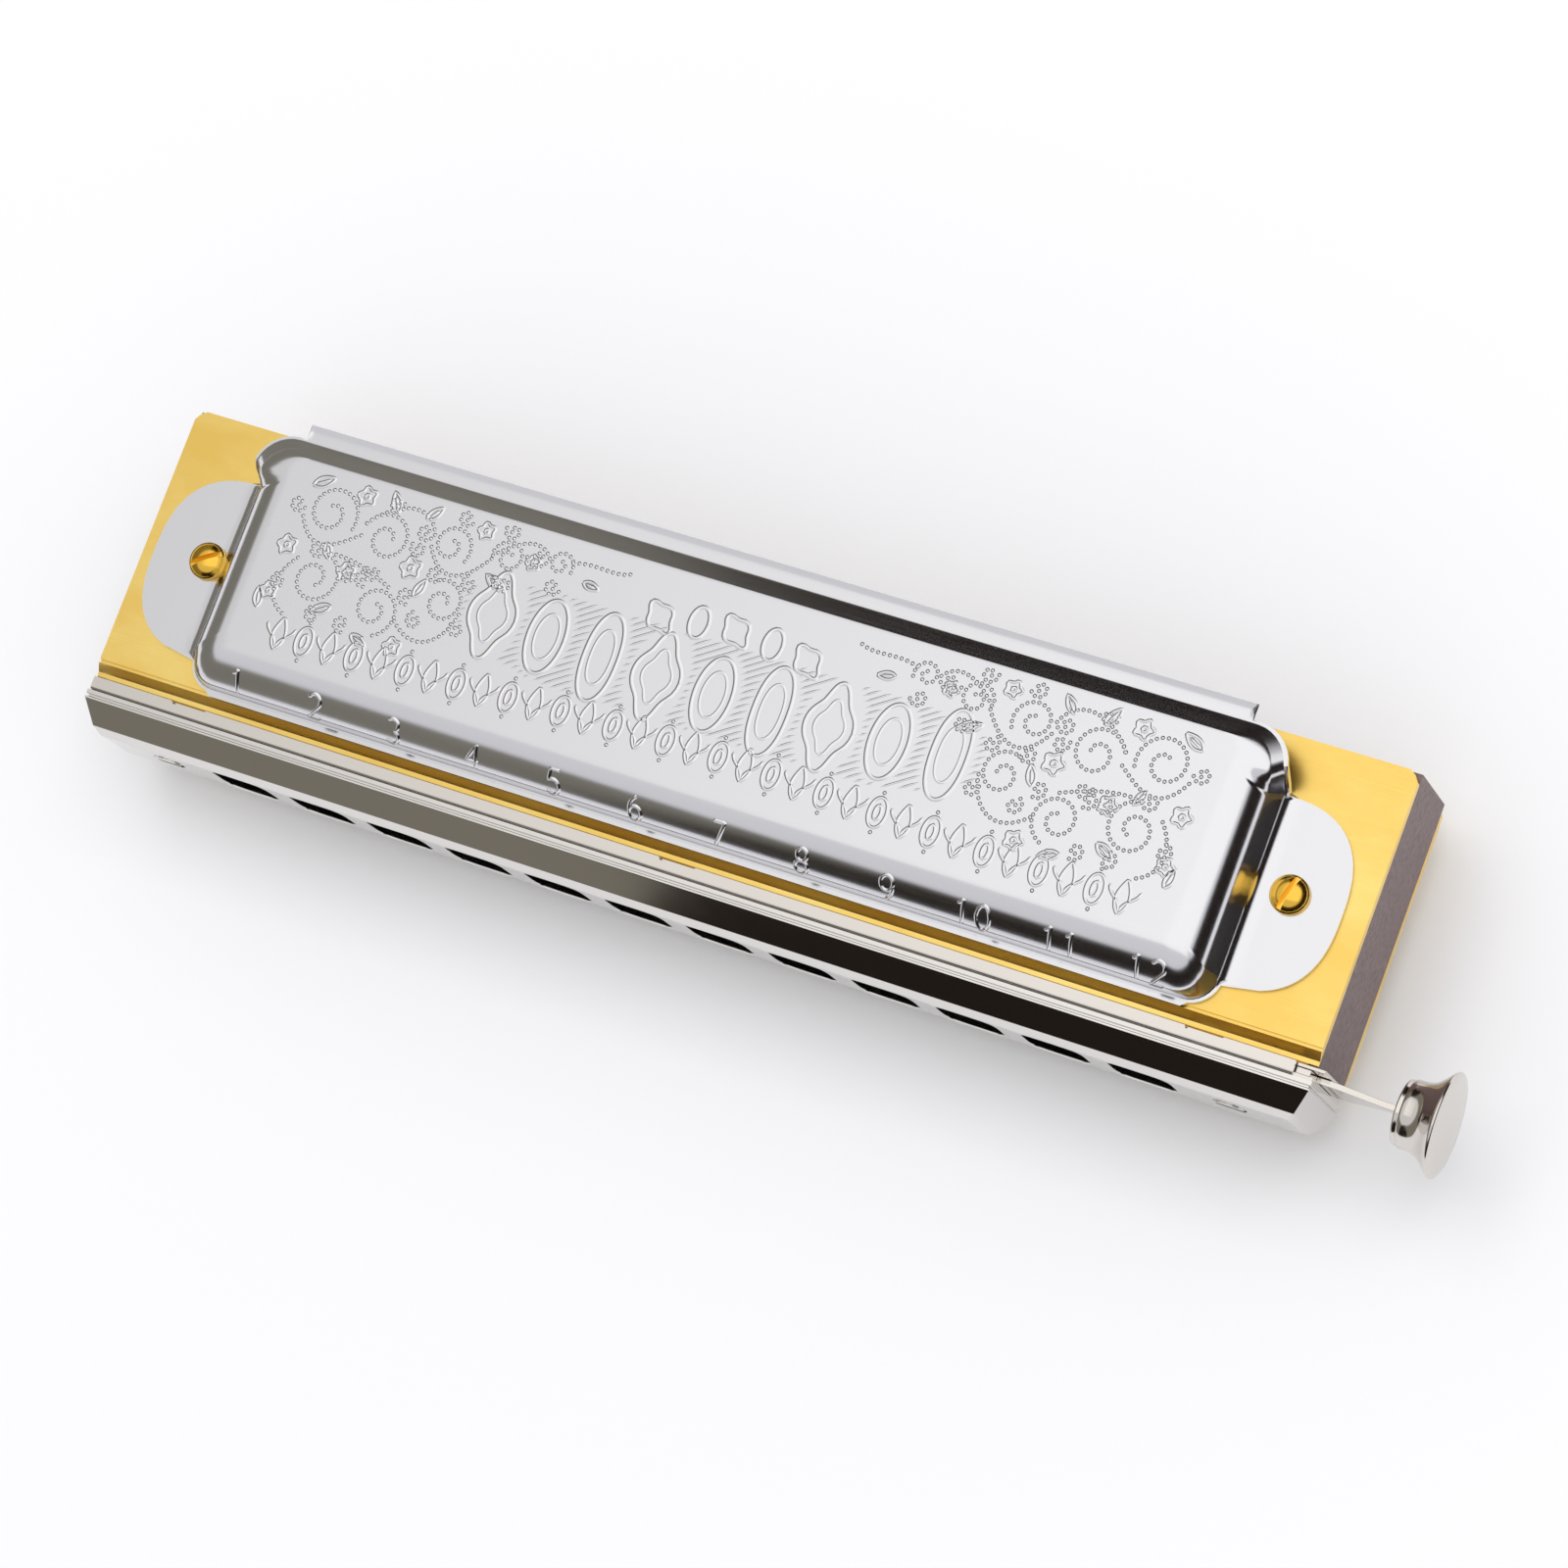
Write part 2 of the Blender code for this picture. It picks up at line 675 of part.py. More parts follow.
def add_bumper(material):
    """The soft ring on the left mouthpiece screw that the slide comes back to."""
    low, high = SLIDE_Y
    bm = bmesh.new()
    start, end = low + BUMPER_CLEAR, high - BUMPER_CLEAR
    rod_into(bm, BUMPER_RADIUS, start, end, "Y", (-MOUTH_SCREW_X, 0, MIDDLE), sides=16)
    ring = add_object("slide_bumper", bm, material)
    cutter = bmesh.new()
    mouth_screw_holes_into(cutter, low, high, MOUTH_SCREW_RADIUS + HOLE_CLEAR)
    cut(ring, add_cutter("bumper_cutter", cutter))


# Mouthpiece

def add_mouthpiece(material):
    """A long bar whose front is bevelled on all four sides, with twelve square holes."""
    back = CAGE_WEB_Y[0] - GAP
    bm = bmesh.new()
    loops = []
    for depth, end_inset, top_inset in MOUTH_SECTIONS:
        half_x = MOUTH_HALF_LENGTH - end_inset
        half_z = CAGE_HALF_HEIGHT - top_inset
        corners = ((-1, -1), (1, -1), (1, 1), (-1, 1))
        loops.append(
            [bm.verts.new((a * half_x, back - depth, MIDDLE + b * half_z)) for a, b in corners]
        )
    for behind, ahead in zip(loops, loops[1:]):
        for index in range(4):
            after = (index + 1) % 4
            bm.faces.new((behind[index], behind[after], ahead[after], ahead[index]))
    bm.faces.new(loops[0])
    bm.faces.new(loops[-1])
    bmesh.ops.recalc_face_normals(bm, faces=bm.faces)
    bar = add_object("mouthpiece", bm, material)
    cutter = bmesh.new()
    front = back - MOUTH_DEPTH
    for number in range(HOLES):
        rounded_hole_into(cutter, hole_x(number), front - 1, back + 1)
    for x in (-MOUTH_SCREW_X, MOUTH_SCREW_X):
        rod_into(cutter, MOUTH_SCREW_RADIUS + HOLE_CLEAR, front - 1, back + 1, "Y", (x, 0, MIDDLE))
    cut(bar, add_cutter("mouth_hole_cutter", cutter))
    seats = bmesh.new()
    for x in (-MOUTH_SCREW_X, MOUTH_SCREW_X):
        reach = MOUTH_HEAD_HEIGHT + HOLE_CLEAR
        rod_into(seats, MOUTH_HEAD_RADIUS + HOLE_CLEAR, front - 1, front + reach, "Y", (x, 0, MIDDLE))
    cut(bar, add_cutter("mouth_seat_cutter", seats))


def rounded_hole_into(bm, x, low_y, high_y):
    """A square hole with rounded corners, along Y."""
    width, height = MOUTH_HOLE
    radius = MOUTH_HOLE_RADIUS
    points = []
    for turn, (a, b) in enumerate(((1, 1), (-1, 1), (-1, -1), (1, -1))):
        centre = (x + a * (width / 2 - radius), MIDDLE + b * (height / 2 - radius))
        points += arc(centre, radius, 90 * turn, 90 * turn + 90, 2)
    near = [bm.verts.new((u, low_y, w)) for u, w in points]
    far = [bm.verts.new((u, high_y, w)) for u, w in points]
    made = [bm.faces.new(near), bm.faces.new(far)]
    for index in range(len(points)):
        after = (index + 1) % len(points)
        made.append(bm.faces.new((near[index], near[after], far[after], far[index])))
    bmesh.ops.recalc_face_normals(bm, faces=made)


# Fasteners

def screw_slot_cutter(name, low, high):
    bm = bmesh.new()
    box_into(bm, low, high)
    return add_cutter(name, bm)


def add_cover_screw(name, x, material):
    """A round-headed slotted screw that goes down through the whole stack."""
    seat = level(1, GAP + COVER_SHEET + GAP)
    bm = bmesh.new()
    rod_into(bm, SCREW_RADIUS, level(-1, SHANK_END), seat + 0.2, "Z", (x, COVER_SCREW_Y, 0))
    screw = add_object(name, bm, material)
    head = bmesh.new()
    made = bmesh.ops.create_uvsphere(head, u_segments=20, v_segments=10, radius=1.0)["verts"]
    bmesh.ops.bisect_plane(
        head,
        geom=head.verts[:] + head.edges[:] + head.faces[:],
        plane_co=(0, 0, 0),
        plane_no=(0, 0, 1),
        clear_inner=True,
    )
    rim = [edge for edge in head.edges if edge.is_boundary]
    bmesh.ops.edgeloop_fill(head, edges=rim)
    bmesh.ops.scale(
        head, vec=(SCREW_HEAD_RADIUS, SCREW_HEAD_RADIUS, SCREW_HEAD_HEIGHT), verts=head.verts
    )
    bmesh.ops.translate(head, vec=(x, COVER_SCREW_Y, seat), verts=head.verts)
    bmesh.ops.recalc_face_normals(head, faces=head.faces)
    cut(screw, add_cutter(name + "_head", head), "UNION")
    top = seat + SCREW_HEAD_HEIGHT
    low = (x - 3, COVER_SCREW_Y - SLOT_WIDTH / 2, top - SLOT_DEPTH)
    high = (x + 3, COVER_SCREW_Y + SLOT_WIDTH / 2, top + 1)
    cut(screw, screw_slot_cutter(name + "_slot", low, high))
    smooth(screw)


def add_cover_nut(name, x, material):
    """A six-sided nut under the lower cover's tab."""
    low, high = ordered(level(-1, COVER_SHEET + 2 * GAP), level(-1, COVER_SHEET + 2 * GAP + NUT_HEIGHT))
    bm = bmesh.new()
    rod_into(bm, NUT_RADIUS, low, high, "Z", (x, COVER_SCREW_Y, 0), sides=6)
    nut = add_object(name, bm, material)
    cutter = bmesh.new()
    rod_into(cutter, SCREW_RADIUS + HOLE_CLEAR, low - 1, high + 1, "Z", (x, COVER_SCREW_Y, 0))
    cut(nut, add_cutter(name + "_cutter", cutter))


def add_mouth_screw(name, x, material):
    """A flat-headed slotted screw from the mouthpiece's front into the wood."""
    front = CAGE_WEB_Y[0] - GAP - MOUTH_DEPTH
    bm = bmesh.new()
    end = front + MOUTH_SCREW_LENGTH
    rod_into(bm, MOUTH_SCREW_RADIUS, front + MOUTH_HEAD_HEIGHT / 2, end, "Y", (x, 0, MIDDLE))
    screw = add_object(name, bm, material)
    head = bmesh.new()
    rod_into(
        head, MOUTH_HEAD_RADIUS, front - 0.1, front + MOUTH_HEAD_HEIGHT, "Y", (x, 0, MIDDLE), sides=16
    )
    cut(screw, add_cutter(name + "_head", head), "UNION")
    low = (x - 3, front - 1, MIDDLE - SLOT_WIDTH / 2)
    high = (x + 3, front + 0.35, MIDDLE + SLOT_WIDTH / 2)
    cut(screw, screw_slot_cutter(name + "_slot", low, high))


# Assembly

steel = new_material("pressed_steel", STEEL, 0.25, 1.0)
nickel = new_material("nickel_plate", NICKEL, 0.15, 1.0)
brass = new_material("rolled_brass", BRASS, 0.3, 1.0)
wood = new_material("stained_pearwood", WOOD, 0.55, 0.0)
rubber = new_material("soft_rubber", RUBBER, 0.7, 0.0)

add_comb(wood)
for half_name, half_side in (("top", 1), ("bottom", -1)):
    add_reed_plate(half_name + "_reed_plate", half_side, brass)
    for reed_number in range(HOLES):
        add_reed(f"{half_name}_reed_{reed_number + 1:02d}", reed_number, half_side, brass)
    for nail_number, nail_x in enumerate(NAIL_X):
        add_plate_nail(f"{half_name}_plate_nail_{nail_number + 1}", nail_x, NAIL_Y, half_side, brass)
    add_cover(half_name + "_cover", half_side, steel)
add_back_plate(nickel)
add_slide(nickel)
add_cage(nickel)
add_mouthpiece(nickel)
add_button(nickel)
add_spring(steel)
add_bumper(rubber)
for end_name, end_x in (("left", -1), ("right", 1)):
    add_cover_screw("cover_screw_" + end_name, end_x * COVER_SCREW_X, brass)
    add_cover_nut("cover_nut_" + end_name, end_x * COVER_SCREW_X, brass)
    add_mouth_screw("mouthpiece_screw_" + end_name, end_x * MOUTH_SCREW_X, nickel)
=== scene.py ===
import math

import bmesh
import bpy
import numpy as np
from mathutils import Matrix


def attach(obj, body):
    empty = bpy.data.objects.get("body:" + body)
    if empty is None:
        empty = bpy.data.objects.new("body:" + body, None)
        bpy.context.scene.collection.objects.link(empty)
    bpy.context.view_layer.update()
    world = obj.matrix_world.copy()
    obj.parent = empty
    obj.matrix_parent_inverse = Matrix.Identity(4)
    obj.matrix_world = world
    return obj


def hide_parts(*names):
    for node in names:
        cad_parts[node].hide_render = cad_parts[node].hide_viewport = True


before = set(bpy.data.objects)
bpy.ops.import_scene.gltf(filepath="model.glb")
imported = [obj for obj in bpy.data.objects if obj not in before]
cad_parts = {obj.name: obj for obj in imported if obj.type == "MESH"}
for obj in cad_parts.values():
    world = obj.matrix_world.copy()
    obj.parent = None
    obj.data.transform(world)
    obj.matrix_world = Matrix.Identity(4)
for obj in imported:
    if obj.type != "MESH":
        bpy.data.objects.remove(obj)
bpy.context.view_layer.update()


# Table and studio
# A white table under a wide overhead softbox. Dark flags stand low round the table, a warm
# cloth hangs on the left and a lit silk is stretched overhead. Only the polished metal sees
# these three: the flags are the black bands along every bend.

TABLE_HALF = 2.5
TABLE_DROP = -0.00005
SOFTBOX_PLACE = (0.05, 0.25, 1.1)
FLAG_RADIUS = 0.75
FLAG_SOLID_TOP = 0.56
FLAG_FADE_TOP = 0.68
FLAG_FOOT = 0.02
FLAG_TOP = 0.8
FLAG_TURN = (-113.0, 113.0)
WARM_TURN = (113.0, 247.0)
SILK_HEIGHT = 1.0
SILK_LEFT, SILK_RIGHT = -1.2, 0.9
SILK_FRONT, SILK_BACK = -0.3, 0.9
SILK_RANGE = (-0.65, -0.2)
SILK_BRIGHTNESS = (0.8, 1.24)


def linear(code):
    """An sRGB hex colour such as #c0c0c0 as linear RGBA."""
    parts = [int(code[i : i + 2], 16) / 255.0 for i in (1, 3, 5)]
    return tuple(c / 12.92 if c < 0.04045 else ((c + 0.055) / 1.055) ** 2.4 for c in parts) + (1.0,)


def add_node(tree, kind, values=None, **settings):
    """Adds a shader node: settings are its own, and values fill its sockets or link to them."""
    node = tree.nodes.new(kind)
    for key, value in settings.items():
        setattr(node, key, value)
    for key, value in (values or {}).items():
        if isinstance(value, bpy.types.NodeSocket):
            tree.links.new(value, node.inputs[key])
        else:
            node.inputs[key].default_value = value
    return node


def new_material(name, **values):
    """A material, its node tree and its Principled shader, with values on the shader's sockets."""
    material = bpy.data.materials.new(name)
    material.use_nodes = True
    shader = material.node_tree.nodes["Principled BSDF"]
    for key, value in values.items():
        shader.inputs[key.replace("_", " ")].default_value = value
    return material, material.node_tree, shader


def grid_faces(rows, columns, closed=False, first=0):
    """Quads of a grid whose points run row after row; closed joins each row's end to its start."""
    index = first + np.arange(rows * columns).reshape(rows, columns)
    if closed:
        index = np.column_stack([index, index[:, :1]])
    corners = (index[:-1, :-1], index[:-1, 1:], index[1:, 1:], index[1:, :-1])
    return np.stack(corners, axis=-1).reshape(-1, 4)


def add_stage(name, points, faces, material):
    """A thing of the studio, in metres."""
    mesh = bpy.data.meshes.new(name)
    mesh.from_pydata(np.asarray(points).tolist(), [], np.asarray(faces).tolist())
    mesh.materials.append(material)
    thing = bpy.data.objects.new(name, mesh)
    bpy.context.scene.collection.objects.link(thing)
    return thing


def only_in_reflections(thing):
    """Polished metal sees it, but the camera, the table and the shadows don't."""
    thing.visible_camera = False
    thing.visible_diffuse = False
    thing.visible_shadow = False


table_paint, _, _ = new_material(
    "matte_white_table", Base_Color=linear("#f3f3f4"), Roughness=0.9, Specular_IOR_Level=0.1
)


def sheet_corners(left, right, front, back, height):
    """The corners of a level rectangle, anticlockwise from above."""
    return [(left, front, height), (right, front, height), (right, back, height), (left, back, height)]


table_edges = (-TABLE_HALF, TABLE_HALF, -TABLE_HALF, TABLE_HALF)
add_stage("table", sheet_corners(*table_edges, TABLE_DROP), [(0, 1, 2, 3)], table_paint)


def glowing(name, build):
    """A material whose surface is what build makes from its node tree and a place in metres."""
    material = bpy.data.materials.new(name)
    material.use_nodes = True
    tree = material.node_tree
    tree.nodes.clear()
    place = add_node(tree, "ShaderNodeTexCoord").outputs["Object"]
    surface = build(tree, add_node(tree, "ShaderNodeSeparateXYZ", {"Vector": place}))
    add_node(tree, "ShaderNodeOutputMaterial", {"Surface": surface})
    return material


def fading_cloth(colour, strength):
    """Cloth on a stand: solid below, and thinning out to nothing at its top."""

    def build(tree, place):
        fade = add_node(
            tree,
            "ShaderNodeMapRange",
            {"Value": place.outputs["Z"], "From Min": FLAG_SOLID_TOP, "From Max": FLAG_FADE_TOP},
        )
        solid = add_node(tree, "ShaderNodeEmission", {"Color": linear(colour), "Strength": strength})
        clear = add_node(tree, "ShaderNodeBsdfTransparent")
        mix = {0: fade.outputs["Result"], 1: solid.outputs[0], 2: clear.outputs[0]}
        return add_node(tree, "ShaderNodeMixShader", mix).outputs[0]

    return build


def lit_silk(tree, place):
    """Silk over the table, lit more strongly towards its right."""
    low, high = SILK_RANGE
    dim, bright = SILK_BRIGHTNESS
    ramp = {"Value": place.outputs["X"], "From Min": low, "From Max": high, "To Min": dim, "To Max": bright}
    strength = add_node(tree, "ShaderNodeMapRange", ramp).outputs["Result"]
    return add_node(tree, "ShaderNodeEmission", {"Color": linear("#fffefc"), "Strength": strength}).outputs[0]


def wall_round(start, end, steps=48, rows=8):
    """A wall of flags on an arc round the table, between two angles in degrees."""
    turn = np.radians(np.linspace(start, end, steps))
    heights = np.linspace(FLAG_FOOT, FLAG_TOP, rows)
    x = FLAG_RADIUS * np.cos(turn)[None, :] + 0 * heights[:, None]
    y = FLAG_RADIUS * np.sin(turn)[None, :] + 0 * heights[:, None]
    z = heights[:, None] + 0 * turn[None, :]
    return np.stack([x, y, z], axis=-1).reshape(-1, 3), grid_faces(rows, steps)


flag_cloth = glowing("black_flag_cloth", fading_cloth("#241e1b", 1.1))
warm_cloth = glowing("warm_grey_cloth", fading_cloth("#747067", 1.3))
silk = glowing("lit_silk", lit_silk)
only_in_reflections(add_stage("black_flags", *wall_round(*FLAG_TURN), flag_cloth))
only_in_reflections(add_stage("warm_flag", *wall_round(*WARM_TURN), warm_cloth))
silk_corners = sheet_corners(SILK_LEFT, SILK_RIGHT, SILK_FRONT, SILK_BACK, SILK_HEIGHT)
only_in_reflections(add_stage("overhead_silk", silk_corners, [(0, 1, 2, 3)], silk))

world = bpy.data.worlds.new("studio_air")
world.use_nodes = True
air = world.node_tree.nodes["Background"]
air.inputs["Color"].default_value = linear("#fdfdff")
air.inputs["Strength"].default_value = 0.8
bpy.context.scene.world = world

softbox = bpy.data.lights.new("softbox", "AREA")
softbox.shape = "RECTANGLE"
softbox.size = 1.1
softbox.size_y = 0.9
softbox.energy = 5.5
softbox_place = bpy.data.objects.new("softbox", softbox)
softbox_place.location = SOFTBOX_PLACE
softbox_place.rotation_euler = (math.radians(-12.0), math.radians(3.0), 0.0)
softbox_place.visible_glossy = False
bpy.context.scene.collection.objects.link(softbox_place)

camera_lens = bpy.data.cameras.new("camera")
camera_lens.lens = 125.03
camera_lens.sensor_width = 36.0
camera_lens.clip_start = 0.01
camera = bpy.data.objects.new("camera", camera_lens)
camera.location = (0.20648, -0.08619, 0.52660)
camera.rotation_euler = (math.radians(15.512), math.radians(17.055), math.radians(21.340))
bpy.context.scene.collection.objects.link(camera)
bpy.context.scene.camera = camera
bpy.context.scene.view_settings.view_transform = "Standard"


# Comb
# The wooden body that every other piece is fixed to: pearwood, milled with twelve pairs of
# channels, then stained dark purple-brown and sealed, so that its grain shows as fine lines.

PEAR_GRAIN_MM = 0.35
PEAR_FIBRE_LENGTH_MM = 9.0

MM = 0.001


def pattern_place(tree, scale):
    """Object coordinates, with a pattern of one unit stretched to these sizes in millimetres."""
    place = add_node(tree, "ShaderNodeTexCoord").outputs["Object"]
    return add_node(
        tree, "ShaderNodeMapping", {"Vector": place, "Scale": [1.0 / (s * MM) for s in scale]}
    ).outputs["Vector"]


pearwood, pear_tree, pear_shader = new_material(
    "stained_pearwood", Roughness=0.5, Coat_Weight=0.15, Coat_Roughness=0.35
)
pear_place = pattern_place(pear_tree, (PEAR_FIBRE_LENGTH_MM, PEAR_GRAIN_MM * 2, PEAR_GRAIN_MM))
pear_fibres = add_node(
    pear_tree, "ShaderNodeTexNoise", {"Vector": pear_place, "Scale": 1.0, "Detail": 6.0, "Roughness": 0.6}
)
pear_colour = add_node(pear_tree, "ShaderNodeValToRGB", {"Fac": pear_fibres.outputs["Fac"]})
pear_colour.color_ramp.elements[0].position = 0.3
pear_colour.color_ramp.elements[0].color = linear("#4e3b3c")
pear_colour.color_ramp.elements[1].position = 0.72
pear_colour.color_ramp.elements[1].color = linear("#866c6a")
pear_tree.links.new(pear_colour.outputs["Color"], pear_shader.inputs["Base Color"])
pear_relief = {"Height": pear_fibres.outputs["Fac"], "Strength": 0.35, "Distance": 0.05 * MM}
pear_bump = add_node(pear_tree, "ShaderNodeBump", pear_relief)
pear_tree.links.new(pear_bump.outputs["Normal"], pear_shader.inputs["Normal"])


def repaint(name, material):
    """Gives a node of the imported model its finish."""
    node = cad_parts[name]
    node.data.materials.clear()
    node.data.materials.append(material)


repaint("comb", pearwood)


# Reed plates
# Rolled brass sheet, 0.95 mm thick, punched with two slots over each channel. The front edge
# is filed to a slope, and the cover's foot stands in a narrow groove behind it.

HOLES = 12
PITCH = 9.43
COMB_HEIGHT = 11.5
PLATE_GAP = 0.05
PLATE_THICK = 0.95
COVER_HEIGHT = 5.8
MIDDLE = COMB_HEIGHT / 2 + PLATE_GAP + PLATE_THICK + COVER_HEIGHT
PLATE_TOP = COMB_HEIGHT / 2 + PLATE_GAP + PLATE_THICK
PLATE_HALF_LENGTH = 70.0
PLATE_FRONT = -16.5
PLATE_BACK = 14.2
GROOVE_Y = -15.0
GROOVE_WIDTH = 0.35
GROOVE_DEPTH = 0.35
LIP_SLOPE_Y = -15.9
LIP_SLOPE_DROP = 0.78
REED_WIDTH = 2.1
REED_OFFSET = 1.95
REED_ROOT_Y = -11.0
SLOT_START_Y = -9.45
SLOT_CLEAR = 0.12
ROLLING_LINE_MM = 0.12
ROLLING_RUN_MM = 30.0
BRASS_CLOUD_MM = (14.0, 7.0, 7.0)
PLATE_CORNER = 1.1
PLATE_CORNER_FRONT = 0.66
CORNER_CUT = 0.45
CORNER_CUT_FRONT = 0.27

hole_x = (np.arange(HOLES) - (HOLES - 1) / 2) * PITCH
slot_length = np.linspace(16.5, 9.5, HOLES)


def level(side, height):
    """Height over the table of a point above the outer face of the upper (1) or lower (-1) plate."""
    return MIDDLE + side * (PLATE_TOP + height)


def add_piece(name, points, faces, material, body, slot, sharp=35.0, rounding=0.0, even=False):
    """A piece from points in millimetres and faces: seams merged, faces turned outwards, edges
    sharper than an angle kept crisp or rounded off. even makes large faces shade flat."""
    bm = bmesh.new()
    mesh = bpy.data.meshes.new(name)
    mesh.from_pydata((np.asarray(points) * MM).tolist(), [], [list(face) for face in faces])
    bm.from_mesh(mesh)
    bmesh.ops.remove_doubles(bm, verts=bm.verts, dist=2e-7)
    bmesh.ops.dissolve_degenerate(bm, edges=bm.edges, dist=1e-7)
    bmesh.ops.recalc_face_normals(bm, faces=bm.faces)
    bm.to_mesh(mesh)
    bm.free()
    mesh.materials.append(material)
    mesh.shade_smooth()
    mesh.set_sharp_from_angle(angle=math.radians(sharp))
    piece = bpy.data.objects.new(name, mesh)
    bpy.context.scene.collection.objects.link(piece)
    if rounding:
        bevel = piece.modifiers.new("worn_edges", "BEVEL")
        bevel.width = rounding * MM
        bevel.segments = 2
        bevel.limit_method = "ANGLE"
        bevel.angle_limit = math.radians(30.0)
        bevel.harden_normals = True
    if even:
        weighted = piece.modifiers.new("even_shading", "WEIGHTED_NORMAL")
        weighted.keep_sharp = True
    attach(piece, body)
    return piece


def pierced_sheet(xs, ys, kept, place):
    """A sheet cut along the lines xs and ys, of which the kept cells stay. place turns a point's
    two coordinates and its face, 0 or 1, into its three coordinates. Where a kept cell meets an
    open one, or the sheet's edge, a wall joins the two faces."""
    u, v = np.meshgrid(xs, ys, indexing="ij")
    points = np.concatenate([place(u, v, 0).reshape(-1, 3), place(u, v, 1).reshape(-1, 3)])
    index = np.arange(u.size).reshape(u.shape)
    corner = (index[:-1, :-1], index[1:, :-1], index[1:, 1:], index[:-1, 1:])
    face = np.stack(corner, axis=-1)[kept]
    faces = [face, face[:, ::-1] + u.size]
    padded = np.pad(kept, 1)
    sides = ((-1, 0, 0, 3), (1, 0, 1, 2), (0, -1, 0, 1), (0, 1, 3, 2))
    for step_x, step_y, a, b in sides:
        beside = padded[1 + step_x : padded.shape[0] - 1 + step_x, 1 + step_y : padded.shape[1] - 1 + step_y]
        edge = kept & ~beside
        ends = np.stack([corner[a][edge], corner[b][edge]], axis=-1)
        faces.append(np.column_stack([ends, ends[:, ::-1] + u.size]))
    used, faces_used = np.unique(np.concatenate(faces), return_inverse=True)
    return points[used], faces_used.reshape(-1, 4)


def lines_of(*groups):
    """All the cutting lines of a sheet in order, each of them once."""
    return np.unique(np.round(np.concatenate([np.ravel(group) for group in groups]), 6))


def whole_sheet(xs, ys):
    """True for every cell of a sheet."""
    return np.ones((len(xs) - 1, len(ys) - 1), dtype=bool)


def cells_inside(xs, ys, low_x, high_x, low_y, high_y):
    """True for the cells of a sheet whose middles lie inside a rectangle."""
    mid_x = (xs[:-1] + xs[1:])[:, None] / 2
    mid_y = (ys[:-1] + ys[1:])[None, :] / 2
    return (low_x < mid_x) & (mid_x < high_x) & (low_y < mid_y) & (mid_y < high_y)


def hazed(tree, shader, scale, low, high, detail=2.0):
    """Makes the roughness wander between two values with fine marks of these sizes in
    millimetres, and returns the marks."""
    values = {"Vector": pattern_place(tree, scale), "Scale": 1.0, "Detail": detail}
    marks = add_node(tree, "ShaderNodeTexNoise", values).outputs["Fac"]
    rough = add_node(tree, "ShaderNodeMapRange", {"Value": marks, "To Min": low, "To Max": high})
    tree.links.new(rough.outputs["Result"], shader.inputs["Roughness"])
    return marks


rolled_brass, brass_tree, brass_shader = new_material("rolled_brass_sheet", Metallic=1.0)
rolling = (ROLLING_RUN_MM, ROLLING_LINE_MM, ROLLING_LINE_MM)
brass_lines = hazed(brass_tree, brass_shader, rolling, 0.22, 0.38, detail=4.0)
brass_clouds = add_node(
    brass_tree,
    "ShaderNodeTexNoise",
    {"Vector": pattern_place(brass_tree, BRASS_CLOUD_MM), "Scale": 1.0, "Detail": 5.0, "Roughness": 0.6},
)
brass_colour = add_node(brass_tree, "ShaderNodeValToRGB", {"Fac": brass_clouds.outputs["Fac"]})
brass_colour.color_ramp.elements[0].position = 0.35
brass_colour.color_ramp.elements[0].color = linear("#f3cc6c")
brass_colour.color_ramp.elements[1].position = 0.7
brass_colour.color_ramp.elements[1].color = linear("#fbdd85")
brass_tree.links.new(brass_colour.outputs["Color"], brass_shader.inputs["Base Color"])
brass_relief = {"Height": brass_lines, "Strength": 0.12, "Distance": 0.01 * MM}
brass_bump = add_node(brass_tree, "ShaderNodeBump", brass_relief)
brass_tree.links.new(brass_bump.outputs["Normal"], brass_shader.inputs["Normal"])

plate_xs = lines_of(
    np.array([-1, 1])[:, None] * np.array([PLATE_HALF_LENGTH - PLATE_CORNER, PLATE_HALF_LENGTH]),
    hole_x[:, None] + np.array([-1, 1])[None, :] * (REED_OFFSET + REED_WIDTH / 2 + SLOT_CLEAR),
    hole_x[:, None] + np.array([-1, 1])[None, :] * (REED_OFFSET - REED_WIDTH / 2 - SLOT_CLEAR),
)
plate_profile = np.array(
    [
        (PLATE_FRONT, -LIP_SLOPE_DROP - 0.12),
        (PLATE_FRONT + 0.12, -LIP_SLOPE_DROP - 0.02),
        (LIP_SLOPE_Y, -LIP_SLOPE_DROP),
        (GROOVE_Y - 0.06, -0.06),
        (GROOVE_Y - 0.02, 0.0),
        (GROOVE_Y, -GROOVE_DEPTH),
        (GROOVE_Y + GROOVE_WIDTH, -GROOVE_DEPTH),
        (GROOVE_Y + GROOVE_WIDTH + 0.02, 0.0),
    ]
)
plate_ys = lines_of(
    plate_profile[:, 0],
    np.array([PLATE_FRONT + PLATE_CORNER_FRONT, SLOT_START_Y, PLATE_BACK - PLATE_CORNER, PLATE_BACK]),
    SLOT_START_Y + slot_length,
)


def plate_place(side):
    """Places a reed plate's points: its corners are cut off, and its outer face follows the
    profile of slope and groove."""

    def place(u, v, face):
        corner = (np.abs(u) > PLATE_HALF_LENGTH - 0.1) & ((v < PLATE_FRONT + 0.1) | (v > PLATE_BACK - 0.1))
        x = np.where(corner, np.sign(u) * (PLATE_HALF_LENGTH - CORNER_CUT), u)
        cut_y = np.where(v < 0, PLATE_FRONT + CORNER_CUT_FRONT, PLATE_BACK - CORNER_CUT)
        y = np.where(corner, cut_y, v)
        outer = np.interp(v, plate_profile[:, 0], plate_profile[:, 1], right=0.0)
        height = outer if face == 1 else np.full_like(outer, -PLATE_THICK)
        return np.stack([x, y, level(side, height)], axis=-1)

    return place


